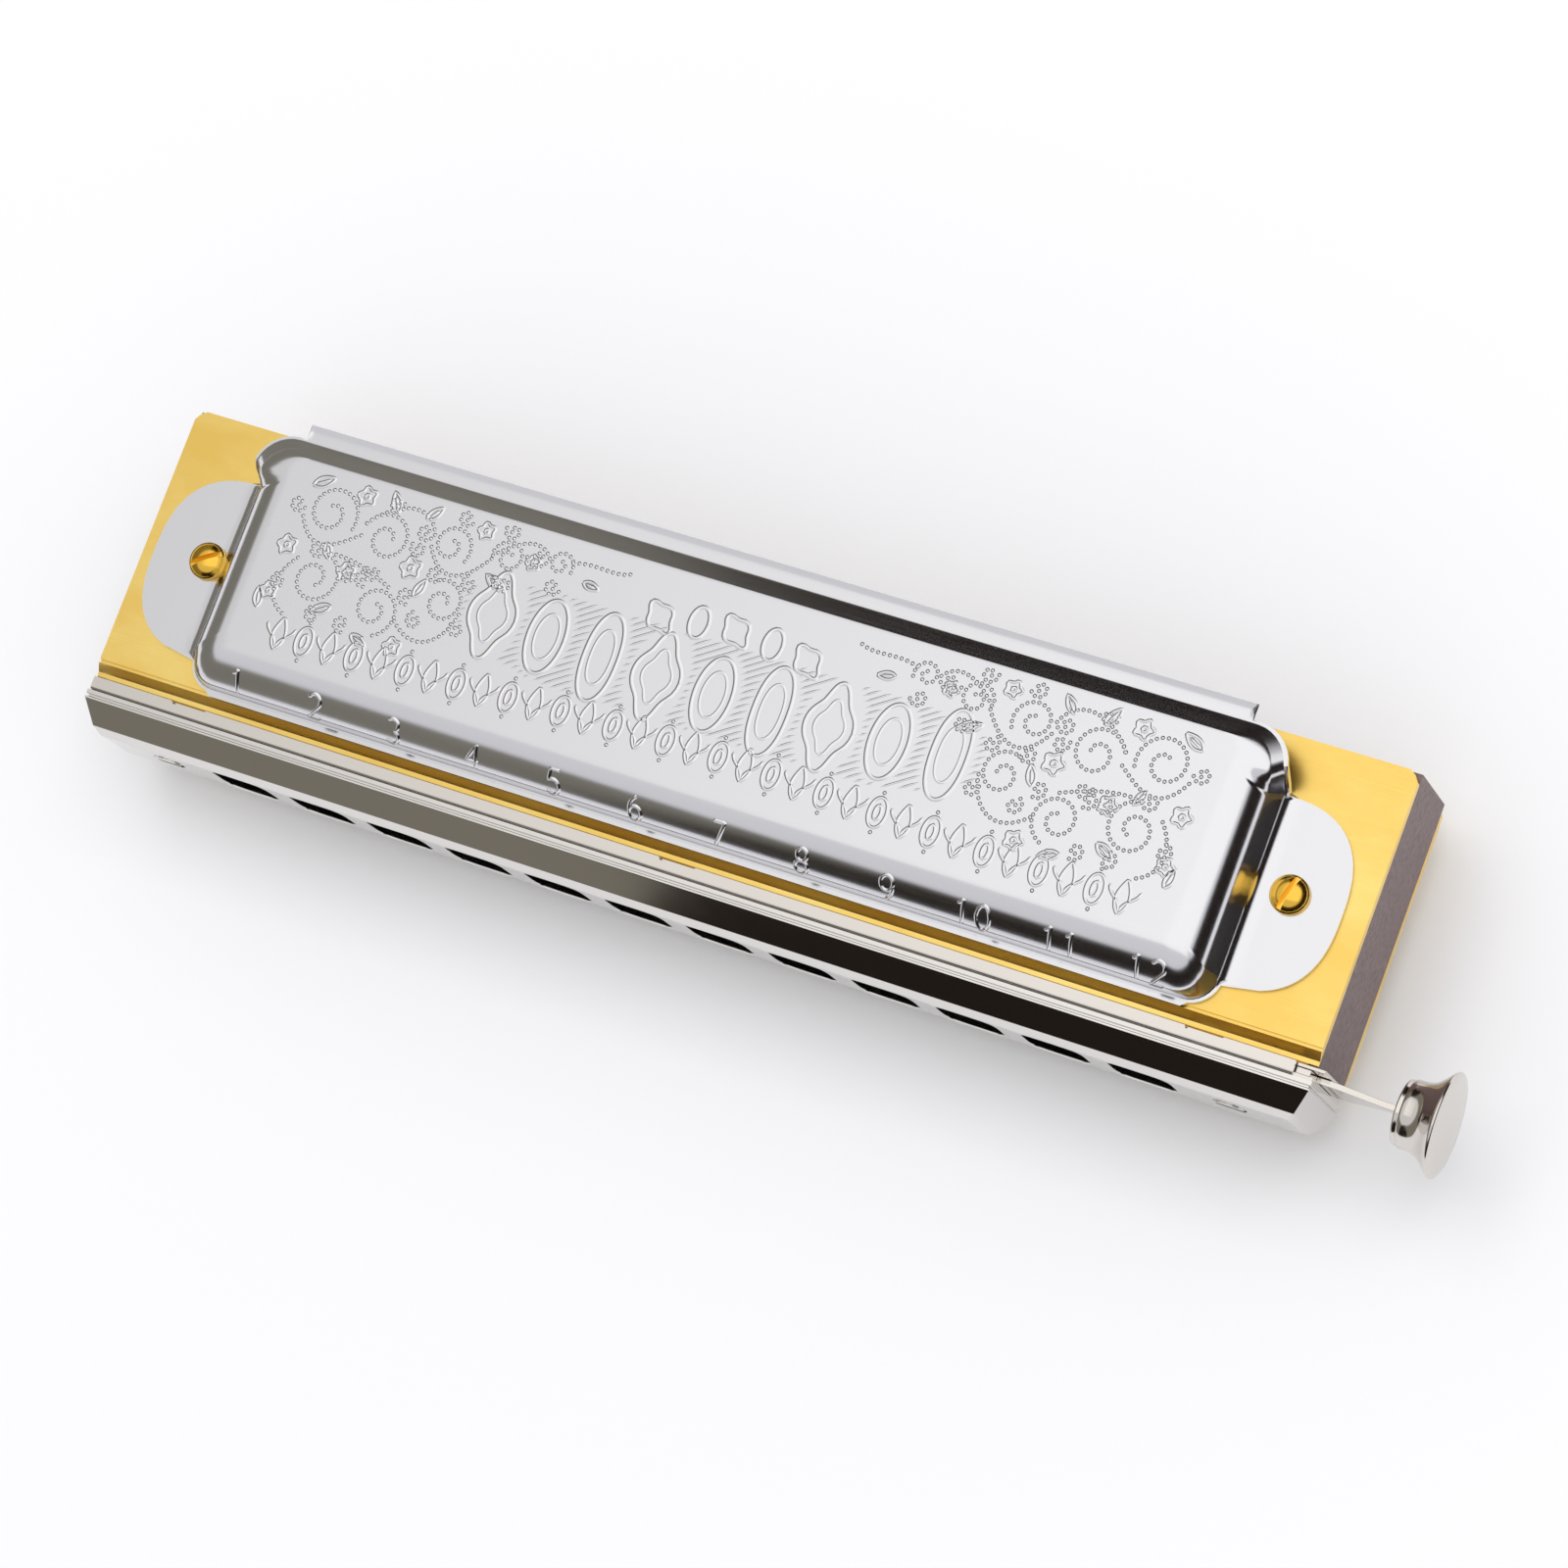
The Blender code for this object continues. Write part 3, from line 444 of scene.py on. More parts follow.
plate_kept = whole_sheet(plate_xs, plate_ys)
for number in range(HOLES):
    for offset in (-REED_OFFSET, REED_OFFSET):
        plate_kept &= ~cells_inside(
            plate_xs,
            plate_ys,
            hole_x[number] + offset - REED_WIDTH / 2 - SLOT_CLEAR,
            hole_x[number] + offset + REED_WIDTH / 2 + SLOT_CLEAR,
            SLOT_START_Y,
            SLOT_START_Y + slot_length[number],
        )
for half, side in (("top", 1), ("bottom", -1)):
    plate = add_piece(
        half + "_reed_plate_sheet",
        *pierced_sheet(plate_xs, plate_ys, plate_kept, plate_place(side)),
        rolled_brass,
        "body",
        "rolled_brass",
        sharp=20.0,
    )
    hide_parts(half + "_reed_plate")


# Covers
# Each cover is one sheet of stainless steel, pressed into a shallow pan over the reeds and
# polished. Its front foot stands on the reed plate, a rounded tab at each end takes a screw,
# and the long back is left open under a turned-up lip, to let the sound out.

COVER_SHEET = 0.45
COVER_FOOT = COVER_SHEET + PLATE_GAP
COVER_RISE = COVER_HEIGHT - 0.2
COVER_SHIFT = -0.5
PAN_HALF_LENGTH = 58.6
PAN_FRONT = -14.25
PAN_BACK = 13.3
PAN_FRONT_RADIUS = 3.0
PAN_BACK_RADIUS = 4.0
RADIUS_SHARE = 0.45
BACK_RUN = 1.9
FLAT_MARGIN = 0.35
FLANGE_BEND = 0.14
FLANGE_SHARES = (1.0, 0.75, 0.5, 0.3, 0.18, 0.12, 0.07, 0.03, 0.01)
LEVEL_RINGS = 6
WALL_TOP = 2.95
WALL_LEAN = 0.1
SHOULDER_RADIUS = 6.0
END_WALL_TOP = 3.0
END_WALL_LEAN = 1.0
END_SHOULDER_RADIUS = 4.16
OPEN_FROM_Y = 8.2
OPEN_RUN = 1.6
OPEN_HEIGHT = 4.25
FOOT_WIDTH = 0.75
RIM_WIDTH = 0.3
LIP_WIDTH = 1.85
LIP_RISE = 0.35
LIP_HALF_LENGTH = 53.8
LIP_SHARE = 0.6
FILLET_RISE = 0.7
FILLET_RUN = 1.2
TAB_REACH = 9.4
TAB_MIDDLE_Y = -1.8
TAB_HALF_WIDTH = 9.9
TAB_POWER = 2.6
COVER_SCREW_X = 61.9
COVER_SCREW_Y = -1.35
LONG_STEPS = 220
ARC_STEPS = 8


def pan_outline(inset, end_inset, climb):
    """The pan's outline, anticlockwise from the left front corner: quarter arcs in the corners,
    and straight runs between them with closer points along the tabs. The insets are those of the
    front and the ends. The back slopes in evenly with climb, the share of the pan's height."""
    half = PAN_HALF_LENGTH - end_inset
    front = PAN_FRONT + inset
    back = PAN_BACK - BACK_RUN * climb
    small = PAN_FRONT_RADIUS - inset * RADIUS_SHARE
    large = PAN_BACK_RADIUS - inset * RADIUS_SHARE
    turn = np.linspace(0.0, math.pi / 2, ARC_STEPS + 1)
    along = np.linspace(-1.0, 1.0, LONG_STEPS + 1)[1:-1]
    lip_x = LIP_HALF_LENGTH - end_inset * LIP_SHARE
    back_x = np.concatenate([along * lip_x, [lip_x, lip_x + 0.08, -lip_x - 0.08, -lip_x]])
    back_x = np.sort(back_x)[::-1]
    tab = TAB_MIDDLE_Y - TAB_HALF_WIDTH * np.cos(np.linspace(0.0, math.pi, 41))
    ends = np.array([PAN_FRONT + PAN_FRONT_RADIUS, PAN_BACK - PAN_BACK_RADIUS])
    side = np.interp(np.append(tab[tab > ends[0]], OPEN_FROM_Y + 0.6), ends, [front + small, back - large])

    def arc(x, y, radius, quarter):
        angle = turn + quarter * math.pi / 2
        return x + radius * np.cos(angle), y + radius * np.sin(angle)

    runs = [
        arc(-half + small, front + small, small, 2),
        (along * (half - small), np.full(along.shape, front)),
        arc(half - small, front + small, small, 3),
        (np.full(side.shape, half), side),
        arc(half - large, back - large, large, 0),
        (back_x, np.full(back_x.shape, back)),
        arc(-half + large, back - large, large, 1),
        (np.full(side.shape, -half), side[::-1]),
    ]
    return np.concatenate([np.stack(run, axis=-1) for run in runs])


def flange_offset(outline):
    """How far the sheet turns out at each point of the outline: a foot in front, a lip behind,
    a tab like a flattened ellipse at each end, and a narrow rim between them."""
    x, y = outline[:, 0], outline[:, 1]
    ahead = np.roll(outline, -1, axis=0) - np.roll(outline, 1, axis=0)
    out = np.stack([ahead[:, 1], -ahead[:, 0]], axis=-1)
    out /= np.linalg.norm(out, axis=1, keepdims=True)
    across = np.clip(np.abs(y - TAB_MIDDLE_Y) / TAB_HALF_WIDTH, 0.0, 1.0)
    tab = TAB_REACH * (1 - across**TAB_POWER) ** (1 / TAB_POWER)
    on_side = np.abs(x) > PAN_HALF_LENGTH - 0.001
    on_front = y < PAN_FRONT + 0.001
    on_lip = (y > PAN_BACK - 0.001) & (np.abs(x) <= LIP_HALF_LENGTH + 0.001)
    out[on_side] = np.stack([np.sign(x[on_side]), 0 * x[on_side]], axis=-1)
    reach = np.full(x.shape, RIM_WIDTH)
    reach = np.where(on_side, np.maximum(tab, RIM_WIDTH), reach)
    reach = np.where(on_front, FOOT_WIDTH, reach)
    reach = np.where(on_lip, LIP_WIDTH, reach)
    return out, reach, on_lip


def rolled_side(height, wall_top, lean, radius):
    """How far a side of the pan leans in at each height: a straight wall, then an arc that rolls
    over into the flat. The arc starts at whatever slope it needs to reach the flat."""
    start = math.sqrt(1 - (1 - (COVER_RISE - wall_top) / radius) ** 2)
    cosine = np.clip(1 - (COVER_RISE - height) / radius, -1.0, 1.0)
    roll = lean + radius * (start - np.sqrt(1 - cosine**2))
    wall = lean * (height - COVER_FOOT) / (wall_top - COVER_FOOT)
    return np.where(height < wall_top, wall, roll)


def cover_profile(fine):
    """Insets of the front and of the ends, and height, from the foot up to the flat."""
    turn = np.linspace(1.0, 0.0, fine) * math.acos(1 - (COVER_RISE - WALL_TOP) / SHOULDER_RADIUS)
    wall = np.linspace(COVER_FOOT + 0.05, WALL_TOP - 0.05, fine // 2)
    height = np.concatenate([wall, COVER_RISE - SHOULDER_RADIUS * (1 - np.cos(turn))])
    front = rolled_side(height, WALL_TOP, WALL_LEAN, SHOULDER_RADIUS)
    ends = rolled_side(height, END_WALL_TOP, END_WALL_LEAN, END_SHOULDER_RADIUS)
    return front, ends, height


def cover_rings():
    """The cover's outer skin as rings from its turned-out edge up to the flat, as (rings,
    points, 3), with heights above the reed plate."""
    outline = pan_outline(0.0, 0.0, 0.0)
    out, reach, on_lip = flange_offset(outline)
    opening = np.clip((outline[:, 1] - OPEN_FROM_Y) / OPEN_RUN, 0.0, 1.0)
    base = COVER_FOOT + opening * (OPEN_HEIGHT - COVER_FOOT)
    fillet = FILLET_RISE * np.clip((reach - 2 * FILLET_RUN) / FILLET_RUN, 0.0, 1.0)
    rings = []
    for share in FLANGE_SHARES:
        away = FLANGE_BEND + (reach - FLANGE_BEND) * share
        rise = fillet * np.clip(1 - away / FILLET_RUN, 0.0, 1.0) ** 2
        rise = rise + np.where(on_lip, LIP_RISE * share**2, 0.0)
        rings.append(np.column_stack([outline + out * away[:, None], base + rise]))
    foot = base + fillet
    for inset, end_inset, height in zip(*cover_profile(20)):
        climb = (height - COVER_FOOT) / (COVER_RISE - COVER_FOOT)
        heights = foot + (COVER_RISE - foot) * climb
        rings.append(np.column_stack([pan_outline(inset, end_inset, climb), heights]))
    size = np.ptp(rings[-1], axis=0)[:2]
    rings.append(rings[-1] * (*(1 - 2 * FLAT_MARGIN / size), 1.0))
    return np.array(rings) + (COVER_SHIFT, 0.0, 0.0)


def skin_normals(rings):
    """Unit normals of a skin given as rings, from the differences to the neighbouring points."""
    around = np.roll(rings, -1, axis=1) - np.roll(rings, 1, axis=1)
    across = np.gradient(rings, axis=0)
    normal = np.cross(around, across)
    return normal / np.linalg.norm(normal, axis=-1, keepdims=True)


def cover_sheet():
    """The cover as one closed sheet: the outer skin, the inner skin one thickness below it, the
    cut edge between them, and the two flats."""
    outer = cover_rings()
    inner = outer - skin_normals(outer) * COVER_SHEET
    inner[:LEVEL_RINGS, :, 2] = outer[:LEVEL_RINGS, :, 2] - COVER_SHEET
    inner[-1, :, 2] = outer[-1, :, 2] - COVER_SHEET
    rows, columns = outer.shape[:2]
    first = rows * columns
    faces = grid_faces(rows, columns, closed=True).tolist()
    faces += grid_faces(rows, columns, closed=True, first=first)[:, ::-1].tolist()
    edge = np.arange(columns)
    ahead = np.roll(edge, -1)
    faces += np.stack([edge + first, ahead + first, ahead, edge], axis=-1).tolist()
    faces.append((edge + first - columns).tolist())
    faces.append((edge[::-1] + 2 * first - columns).tolist())
    return np.concatenate([outer.reshape(-1, 3), inner.reshape(-1, 3)]), faces


def on_side(points, side):
    """Points whose third coordinate is a height above a reed plate, as places over the table."""
    placed = np.array(points, dtype=float)
    placed[..., 2] = level(side, placed[..., 2])
    return placed


POLISH_RUN_MM = 6.0
POLISH_LINE_MM = 0.25

polished_steel, steel_tree, steel_shader = new_material(
    "polished_stainless_sheet", Metallic=1.0, Base_Color=linear("#dcdce0")
)
polish_marks = (POLISH_RUN_MM, POLISH_LINE_MM, POLISH_LINE_MM)
hazed(steel_tree, steel_shader, polish_marks, 0.12, 0.2, detail=3.0)

cover_points, cover_faces = cover_sheet()
for half, side in (("top", 1), ("bottom", -1)):
    cover = add_piece(
        half + "_cover_shell",
        on_side(cover_points, side),
        cover_faces,
        polished_steel,
        "body",
        "pressed_steel",
        sharp=50.0,
    )
    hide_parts(half + "_cover")


# Cover relief
# The die that presses a cover also raises its ornament: scrolls of fine beads, rosettes and
# leaves at both ends and along the back, and plain leaves, ovals and lozenges on a hatched
# ground in the middle. Every line here is a real raised bead or ridge of the sheet.

BEAD_PITCH = 0.62
BEAD_RADIUS = 0.26
BEAD_HEIGHT = 0.13
LINE_WIDTH = 0.5
LINE_HEIGHT = 0.11
HATCH_MM = 0.65
HATCH_WIDTH = 0.34
HATCH_HEIGHT = 0.09
HATCH_TURN = math.radians(33.0)
SUNK = 0.02


def resample(path, pitch):
    """Points at an even pitch along a path of straight steps."""
    step = np.linalg.norm(np.diff(path, axis=0), axis=1)
    run = np.concatenate([[0.0], np.cumsum(step)])
    count = max(int(round(run[-1] / pitch)), 2)
    even = np.linspace(0.0, run[-1], count + 1)
    return np.stack([np.interp(even, run, path[:, 0]), np.interp(even, run, path[:, 1])], axis=-1)


def beads(centres, radius, height):
    """Round beads, each six-sided with a shoulder and a crown, closed below: points whose third
    coordinate is a height above the sheet, and faces."""
    turn = np.arange(6) * math.pi / 3
    ring = np.stack([np.cos(turn), np.sin(turn)], axis=-1)
    low = np.column_stack([ring * radius, np.full(6, -SUNK)])
    high = np.column_stack([ring * radius * 0.6, np.full(6, height * 0.62)])
    bead = np.concatenate([low, high, [[0.0, 0.0, height]]])
    points = np.zeros((len(centres), 13, 3)) + bead
    points[:, :, :2] += np.asarray(centres)[:, None, :]
    around = np.arange(6)
    ahead = np.roll(around, -1)
    faces = np.stack([around, ahead, ahead + 6, around + 6], axis=-1).tolist()
    faces += np.stack([around + 6, ahead + 6, np.full(6, 12)], axis=-1).tolist()
    faces.append(around[::-1].tolist())
    shift = 13 * np.arange(len(centres))
    return points.reshape(-1, 3), [[i + s for i in face] for s in shift for face in faces]


def ridges(paths, width, height):
    """Raised lines along paths: a rounded section that fades to the sheet on both sides and runs
    out at both ends, closed below."""
    section = np.array([(-1.0, 0.0), (-0.6, 0.3), (-0.25, 0.88), (0.25, 0.88), (0.6, 0.3), (1.0, 0.0)])
    all_points = []
    faces = []
    first = 0
    for path in paths:
        ahead = np.gradient(path, axis=0)
        ahead /= np.maximum(np.linalg.norm(ahead, axis=1, keepdims=True), 1e-9)
        across = np.stack([-ahead[:, 1], ahead[:, 0]], axis=-1)
        fade = np.ones(len(path))
        if np.linalg.norm(path[0] - path[-1]) > 1e-6:
            fade[[0, -1]] = 0.05
        offset = section[None, :, 0] * (width / 2 * fade)[:, None]
        points = path[:, None, :] + across[:, None, :] * offset[:, :, None]
        rise = section[None, :, 1] * height * fade[:, None] - SUNK
        all_points.append(np.concatenate([points, rise[:, :, None]], axis=-1).reshape(-1, 3))
        rows, columns = len(path), len(section)
        faces += grid_faces(rows, columns, closed=True, first=first).tolist()
        faces.append([first + i for i in range(columns)][::-1])
        faces.append([first + (rows - 1) * columns + i for i in range(columns)])
        first += rows * columns
    return np.concatenate(all_points), faces


def joined(*parts):
    """One list of points and one of faces from several pairs of them."""
    points = np.concatenate([part[0] for part in parts])
    faces = []
    first = 0
    for part_points, part_faces in parts:
        faces += [[i + first for i in face] for face in part_faces]
        first += len(part_points)
    return points, faces


def scroll(x, y, radius, turns, start, hand, inner=0.25):
    """A spiral about a centre, from its outer radius in to a share of it."""
    t = np.linspace(0.0, 1.0, 48)
    angle = math.radians(start) + hand * 2 * math.pi * turns * t
    reach = radius * (1 - (1 - inner) * t)
    return np.stack([x + reach * np.cos(angle), y + reach * np.sin(angle)], axis=-1)


def sweep(start, pull_a, pull_b, end):
    """A curved stem: a cubic between two ends, pulled towards two points."""
    t = np.linspace(0.0, 1.0, 24)[:, None]
    a, b, c, d = (np.array(p, dtype=float) for p in (start, pull_a, pull_b, end))
    return (1 - t) ** 3 * a + 3 * (1 - t) ** 2 * t * b + 3 * (1 - t) * t**2 * c + t**3 * d


def ring_of(x, y, radius_x, radius_y, lobes=0, depth=0.0, turn=0.0):
    """A closed oval whose radius swells lobes times round, turned by an angle in degrees."""
    angle = np.linspace(0.0, 2 * math.pi, 41)
    swell = 1 + depth * np.cos(lobes * angle)
    u = radius_x * swell * np.cos(angle)
    v = radius_y * swell * np.sin(angle)
    c, s = math.cos(math.radians(turn)), math.sin(math.radians(turn))
    return np.stack([x + u * c - v * s, y + u * s + v * c], axis=-1)


def leaf(x, y, length, width, turn):
    """A pointed leaf's outline and its midrib, from its stalk at (x, y) in a direction in degrees."""
    t = np.linspace(0.0, 1.0, 17)
    bulge = width / 2 * np.sin(math.pi * t) ** 0.8 * (1.15 - 0.5 * t)
    outline = np.concatenate([np.stack([t * length, bulge], -1), np.stack([t * length, -bulge], -1)[::-1]])
    rib = np.stack([np.linspace(0.1, 0.8, 6) * length, np.zeros(6)], axis=-1)
    c, s = math.cos(math.radians(turn)), math.sin(math.radians(turn))
    rotate = np.array([[c, s], [-s, c]])
    return [outline @ rotate + (x, y), rib @ rotate + (x, y)]


# One end's ornament, drawn for the right end: scrolls, stems, rosettes and leaves.
END_SCROLLS = (
    (47.4, 6.6, 3.1, 1.35, 200, -1),
    (40.4, 5.6, 2.9, 1.4, 20, 1),
    (33.2, 6.9, 2.4, 1.3, 210, -1),
    (46.6, -0.6, 3.0, 1.4, 90, 1),
    (38.9, -1.9, 2.8, 1.4, 250, -1),
    (31.9, 0.9, 2.5, 1.3, 60, 1),
    (26.6, 7.4, 1.9, 1.3, 10, 1),
    (20.9, 8.3, 1.5, 1.25, 200, -1),
)
END_STEMS = (
    ((50.4, 5.4), (48.0, 1.0), (45.0, 4.0), (43.3, 5.2)),
    ((43.2, 6.6), (40.0, 10.5), (36.5, 10.2), (35.4, 7.5)),
    ((35.3, 6.2), (33.0, 2.4), (30.4, 3.8), (28.4, 6.8)),
    ((49.2, 1.0), (51.4, -1.6), (50.8, -4.2), (48.6, -5.1)),
    ((46.4, 2.4), (43.2, 2.8), (40.2, 1.6), (38.2, 0.8)),
    ((36.2, -2.4), (33.2, -5.2), (30.2, -3.4), (29.6, 0.2)),
    ((28.4, 7.2), (25.4, 10.2), (23.4, 10.0), (22.3, 8.6)),
    ((19.6, 8.8), (17.2, 9.6), (15.0, 8.6), (13.2, 9.4)),
)
END_ROSETTES = (
    (44.2, 9.3, 0.95),
    (36.6, 3.4, 1.05),
    (43.4, 1.0, 0.9),
    (50.9, 2.0, 0.95),
    (30.0, 9.4, 0.85),
    (35.4, -5.1, 0.9),
    (51.0, -3.2, 0.85),
    (23.8, 7.6, 0.75),
)
END_LEAVES = (
    (50.6, 8.9, 2.6, 1.2, 150),
    (40.2, 8.6, 2.4, 1.1, 60),
    (36.9, 8.8, 2.2, 1.0, 130),
    (28.0, 4.9, 2.4, 1.1, 200),
    (43.6, -2.9, 2.4, 1.1, 330),
    (35.2, 0.6, 2.3, 1.0, 110),
    (40.3, -5.1, 2.2, 1.0, 200),
    (51.6, -5.2, 2.2, 1.0, 75),
    (26.4, 4.0, 2.2, 1.0, 30),
    (17.8, 7.2, 2.0, 0.9, 190),
    (46.7, 3.4, 1.9, 0.9, 240),
)


CURL_ANGLES = (70.0, 160.0, 250.0)
CURL_RADIUS = 0.95
CURL_LIMIT = (52.6, 4.4, 10.4)


def mirrored(path, hand):
    """A path for the right end, or turned over for the left end."""
    return path * np.array([hand, 1.0])


def end_ornament():
    """The beaded and the plain lines of both ends."""
    beaded = []
    plain = []
    for hand in (1, -1):
        for x, y, radius, turns, start, turning in END_SCROLLS:
            beaded.append(mirrored(scroll(x, y, radius, turns, start, turning), hand))
            for leaning in CURL_ANGLES:
                curl = math.radians(start + leaning)
                curl_x = x + (radius + CURL_RADIUS) * math.cos(curl)
                curl_y = y + (radius + CURL_RADIUS) * math.sin(curl)
                if abs(curl_x) < CURL_LIMIT[0] and -CURL_LIMIT[1] < curl_y < CURL_LIMIT[2]:
                    beaded.append(mirrored(scroll(curl_x, curl_y, CURL_RADIUS, 1.1, start, -turning), hand))
        for item in END_STEMS:
            beaded.append(mirrored(sweep(*item), hand))
        for x, y, radius in END_ROSETTES:
            plain.append(mirrored(ring_of(x, y, radius, radius, lobes=5, depth=0.2), hand))
            plain.append(mirrored(ring_of(x, y, radius * 0.3, radius * 0.3), hand))
        for item in END_LEAVES:
            plain += [mirrored(line, hand) for line in leaf(*item)]
    return beaded, plain


MAIN_ROW_X = np.linspace(-26.0, 26.0, 9)
MAIN_ROW_SAG = 1.6
MAIN_HALF_HEIGHT = 4.2
SMALL_ROW_X = np.linspace(-8.4, 8.4, 5)
FRONT_ROW_X = np.linspace(-48.0, 48.0, 33)
HATCH_HALF_LENGTH = 30.0
HATCH_HALF_HEIGHT = 5.6


def main_row_y(x):
    """Height of the middle row's centre line, which hangs down between its ends."""
    return 0.8 + MAIN_ROW_SAG * (x / 30.0) ** 2 - 0.5 * MAIN_ROW_SAG


def main_row():
    """Large outlined leaves, ovals and lozenges in turn, along the middle row."""
    shapes = []
    for number, x in enumerate(MAIN_ROW_X):
        y = main_row_y(x)
        if number % 3 == 0:
            shapes.append(ring_of(x, y, 2.35, MAIN_HALF_HEIGHT, lobes=4, depth=0.14))
        elif number % 3 == 1:
            shapes.append(ring_of(x, y, 2.05, MAIN_HALF_HEIGHT * 0.95))
        else:
            shapes.append(ring_of(x, y, 2.2, MAIN_HALF_HEIGHT, lobes=2, depth=-0.14))
    return shapes


def hatching(shapes):
    """Slanting lines of the middle ground, stopped short of every large shape."""
    lines = []
    span = HATCH_HALF_LENGTH + HATCH_HALF_HEIGHT
    slant = np.array([math.cos(HATCH_TURN), math.sin(HATCH_TURN)])
    shape_middles = np.array([shape.mean(axis=0) for shape in shapes])
    shape_sizes = np.array([np.ptp(shape, axis=0) / 2 + 0.3 for shape in shapes])
    for offset in np.arange(-span, span, HATCH_MM / math.sin(HATCH_TURN)):
        along = np.arange(-9.5, 9.5, 0.2)[:, None]
        path = np.array([offset, 0.8]) + along * slant
        away = path[:, 1] - main_row_y(path[:, 0])
        taper = np.sqrt(np.clip(1 - (path[:, 0] / HATCH_HALF_LENGTH) ** 2, 0.0, 1.0)) ** 0.5
        inside = np.abs(away) < HATCH_HALF_HEIGHT * taper
        gap = (path[:, None, :] - shape_middles) / shape_sizes
        inside &= (np.sum(gap**2, axis=-1) > 1).all(axis=1)
        change = np.flatnonzero(np.diff(np.concatenate([[0], inside.astype(int), [0]])))
        for start, end in zip(change[::2], change[1::2]):
            if end - start > 4:
                lines.append(resample(path[[start, end - 1]], 0.8))
    return lines


def front_row():
    """A running border of small upright leaves and dots near the front edge."""
    lines = []
    dots = []
    for number, x in enumerate(FRONT_ROW_X):
        y = -6.6 + 0.7 * math.cos(x / 15.0)
        if number % 2 == 0:
            lines += [leaf(x, y - 1.7, 3.6, 1.6, 90)[0]]
            lines += [sweep((x, y - 1.6), (x + 0.2, y), (x + 1.6, y - 0.2), (x + 1.7, y + 1.1))]
            lines += [sweep((x, y - 1.6), (x - 0.2, y), (x - 1.6, y - 0.2), (x - 1.7, y + 1.1))]
        else:
            lines += [ring_of(x, y, 0.95, 1.6), ring_of(x, y, 0.35, 0.8)]
            dots.append((x, y - 2.1))
            dots.append((x, y + 2.1))
    return lines, np.array(dots)


def small_row():
    """Five small shapes over the middle row."""
    shapes = []
    for number, x in enumerate(SMALL_ROW_X):
        y = 6.9 - 0.012 * x * x
        if number % 2 == 0:
            shapes.append(ring_of(x, y, 1.25, 1.75, lobes=4, depth=0.16, turn=45))
        else:
            shapes.append(ring_of(x, y, 1.05, 1.7))
    return shapes


beaded_lines, plain_lines = end_ornament()
large_shapes = main_row()
border_lines, border_dots = front_row()
bead_centres = np.concatenate([resample(path, BEAD_PITCH) for path in beaded_lines] + [border_dots])
fine_lines = [resample(path, 0.3) for path in plain_lines + border_lines]
bold_lines = [resample(path, 0.35) for path in large_shapes + small_row()]
inner_lines = [shape.mean(axis=0) + (shape - shape.mean(axis=0)) * 0.62 for shape in large_shapes]
relief_points, relief_faces = joined(
    beads(bead_centres, BEAD_RADIUS, BEAD_HEIGHT),
    ridges(fine_lines, LINE_WIDTH, LINE_HEIGHT),
    ridges(bold_lines, LINE_WIDTH * 1.25, LINE_HEIGHT),
    ridges([resample(path, 0.35) for path in inner_lines], LINE_WIDTH, LINE_HEIGHT * 0.7),
    ridges(hatching(large_shapes), HATCH_WIDTH, HATCH_HEIGHT),
)
relief_points += (COVER_SHIFT, 0.0, COVER_RISE)
for half, side in (("top", 1), ("bottom", -1)):
    add_piece(
        half + "_cover_relief",
        on_side(relief_points, side),
        relief_faces,
        polished_steel,
        "body",
        "pressed_steel",
        sharp=60.0,
    )


# Hole numbers
# The numbers 1 to 12, one over each hole, pressed up out of the upper cover's front shoulder.

DIGIT_TALL = 2.9
DIGIT_WIDE = 1.75
DIGIT_SPACE = 0.55
DIGIT_MIDDLE = 3.85
DIGIT_LINE = 0.5
DIGIT_HEIGHT = 0.2


def bow(x, y, radius_x, radius_y, start, end):
    """Part of an oval between two angles in degrees, in a digit's own unit square."""
    turn = np.radians(np.linspace(start, end, 14))
    return np.stack([x + radius_x * np.cos(turn), y + radius_y * np.sin(turn)], axis=-1)


def through(*points):
    """Straight strokes through points of a digit's unit square."""
    return np.array(points, dtype=float)


DIGIT_STROKES = {
    "0": [bow(0.5, 0.5, 0.42, 0.5, 90, 450)],
    "1": [through((0.2, 0.78), (0.55, 1.0), (0.55, 0.0))],
    "2": [np.concatenate([bow(0.5, 0.72, 0.4, 0.28, 165, -30), through((0.1, 0.0), (0.92, 0.0))])],
    "3": [bow(0.45, 0.76, 0.38, 0.24, 150, -80), bow(0.45, 0.27, 0.43, 0.27, 80, -150)],
    "4": [through((0.68, 0.0), (0.68, 1.0), (0.08, 0.32), (0.95, 0.32))],
    "5": [
        np.concatenate(
            [through((0.88, 1.0), (0.24, 1.0), (0.18, 0.56)), bow(0.46, 0.32, 0.42, 0.32, 110, -150)]
        )
    ],
    "6": [bow(0.5, 0.3, 0.4, 0.3, 0, 360), bow(0.75, 0.42, 0.65, 0.58, 105, 190)],
    "7": [through((0.1, 1.0), (0.9, 1.0), (0.38, 0.0))],
    "8": [bow(0.5, 0.75, 0.33, 0.25, -90, 270), bow(0.5, 0.26, 0.42, 0.26, 90, 450)],
    "9": [bow(0.5, 0.7, 0.4, 0.3, 0, 360), bow(0.25, 0.58, 0.65, 0.58, 10, -75)],
}


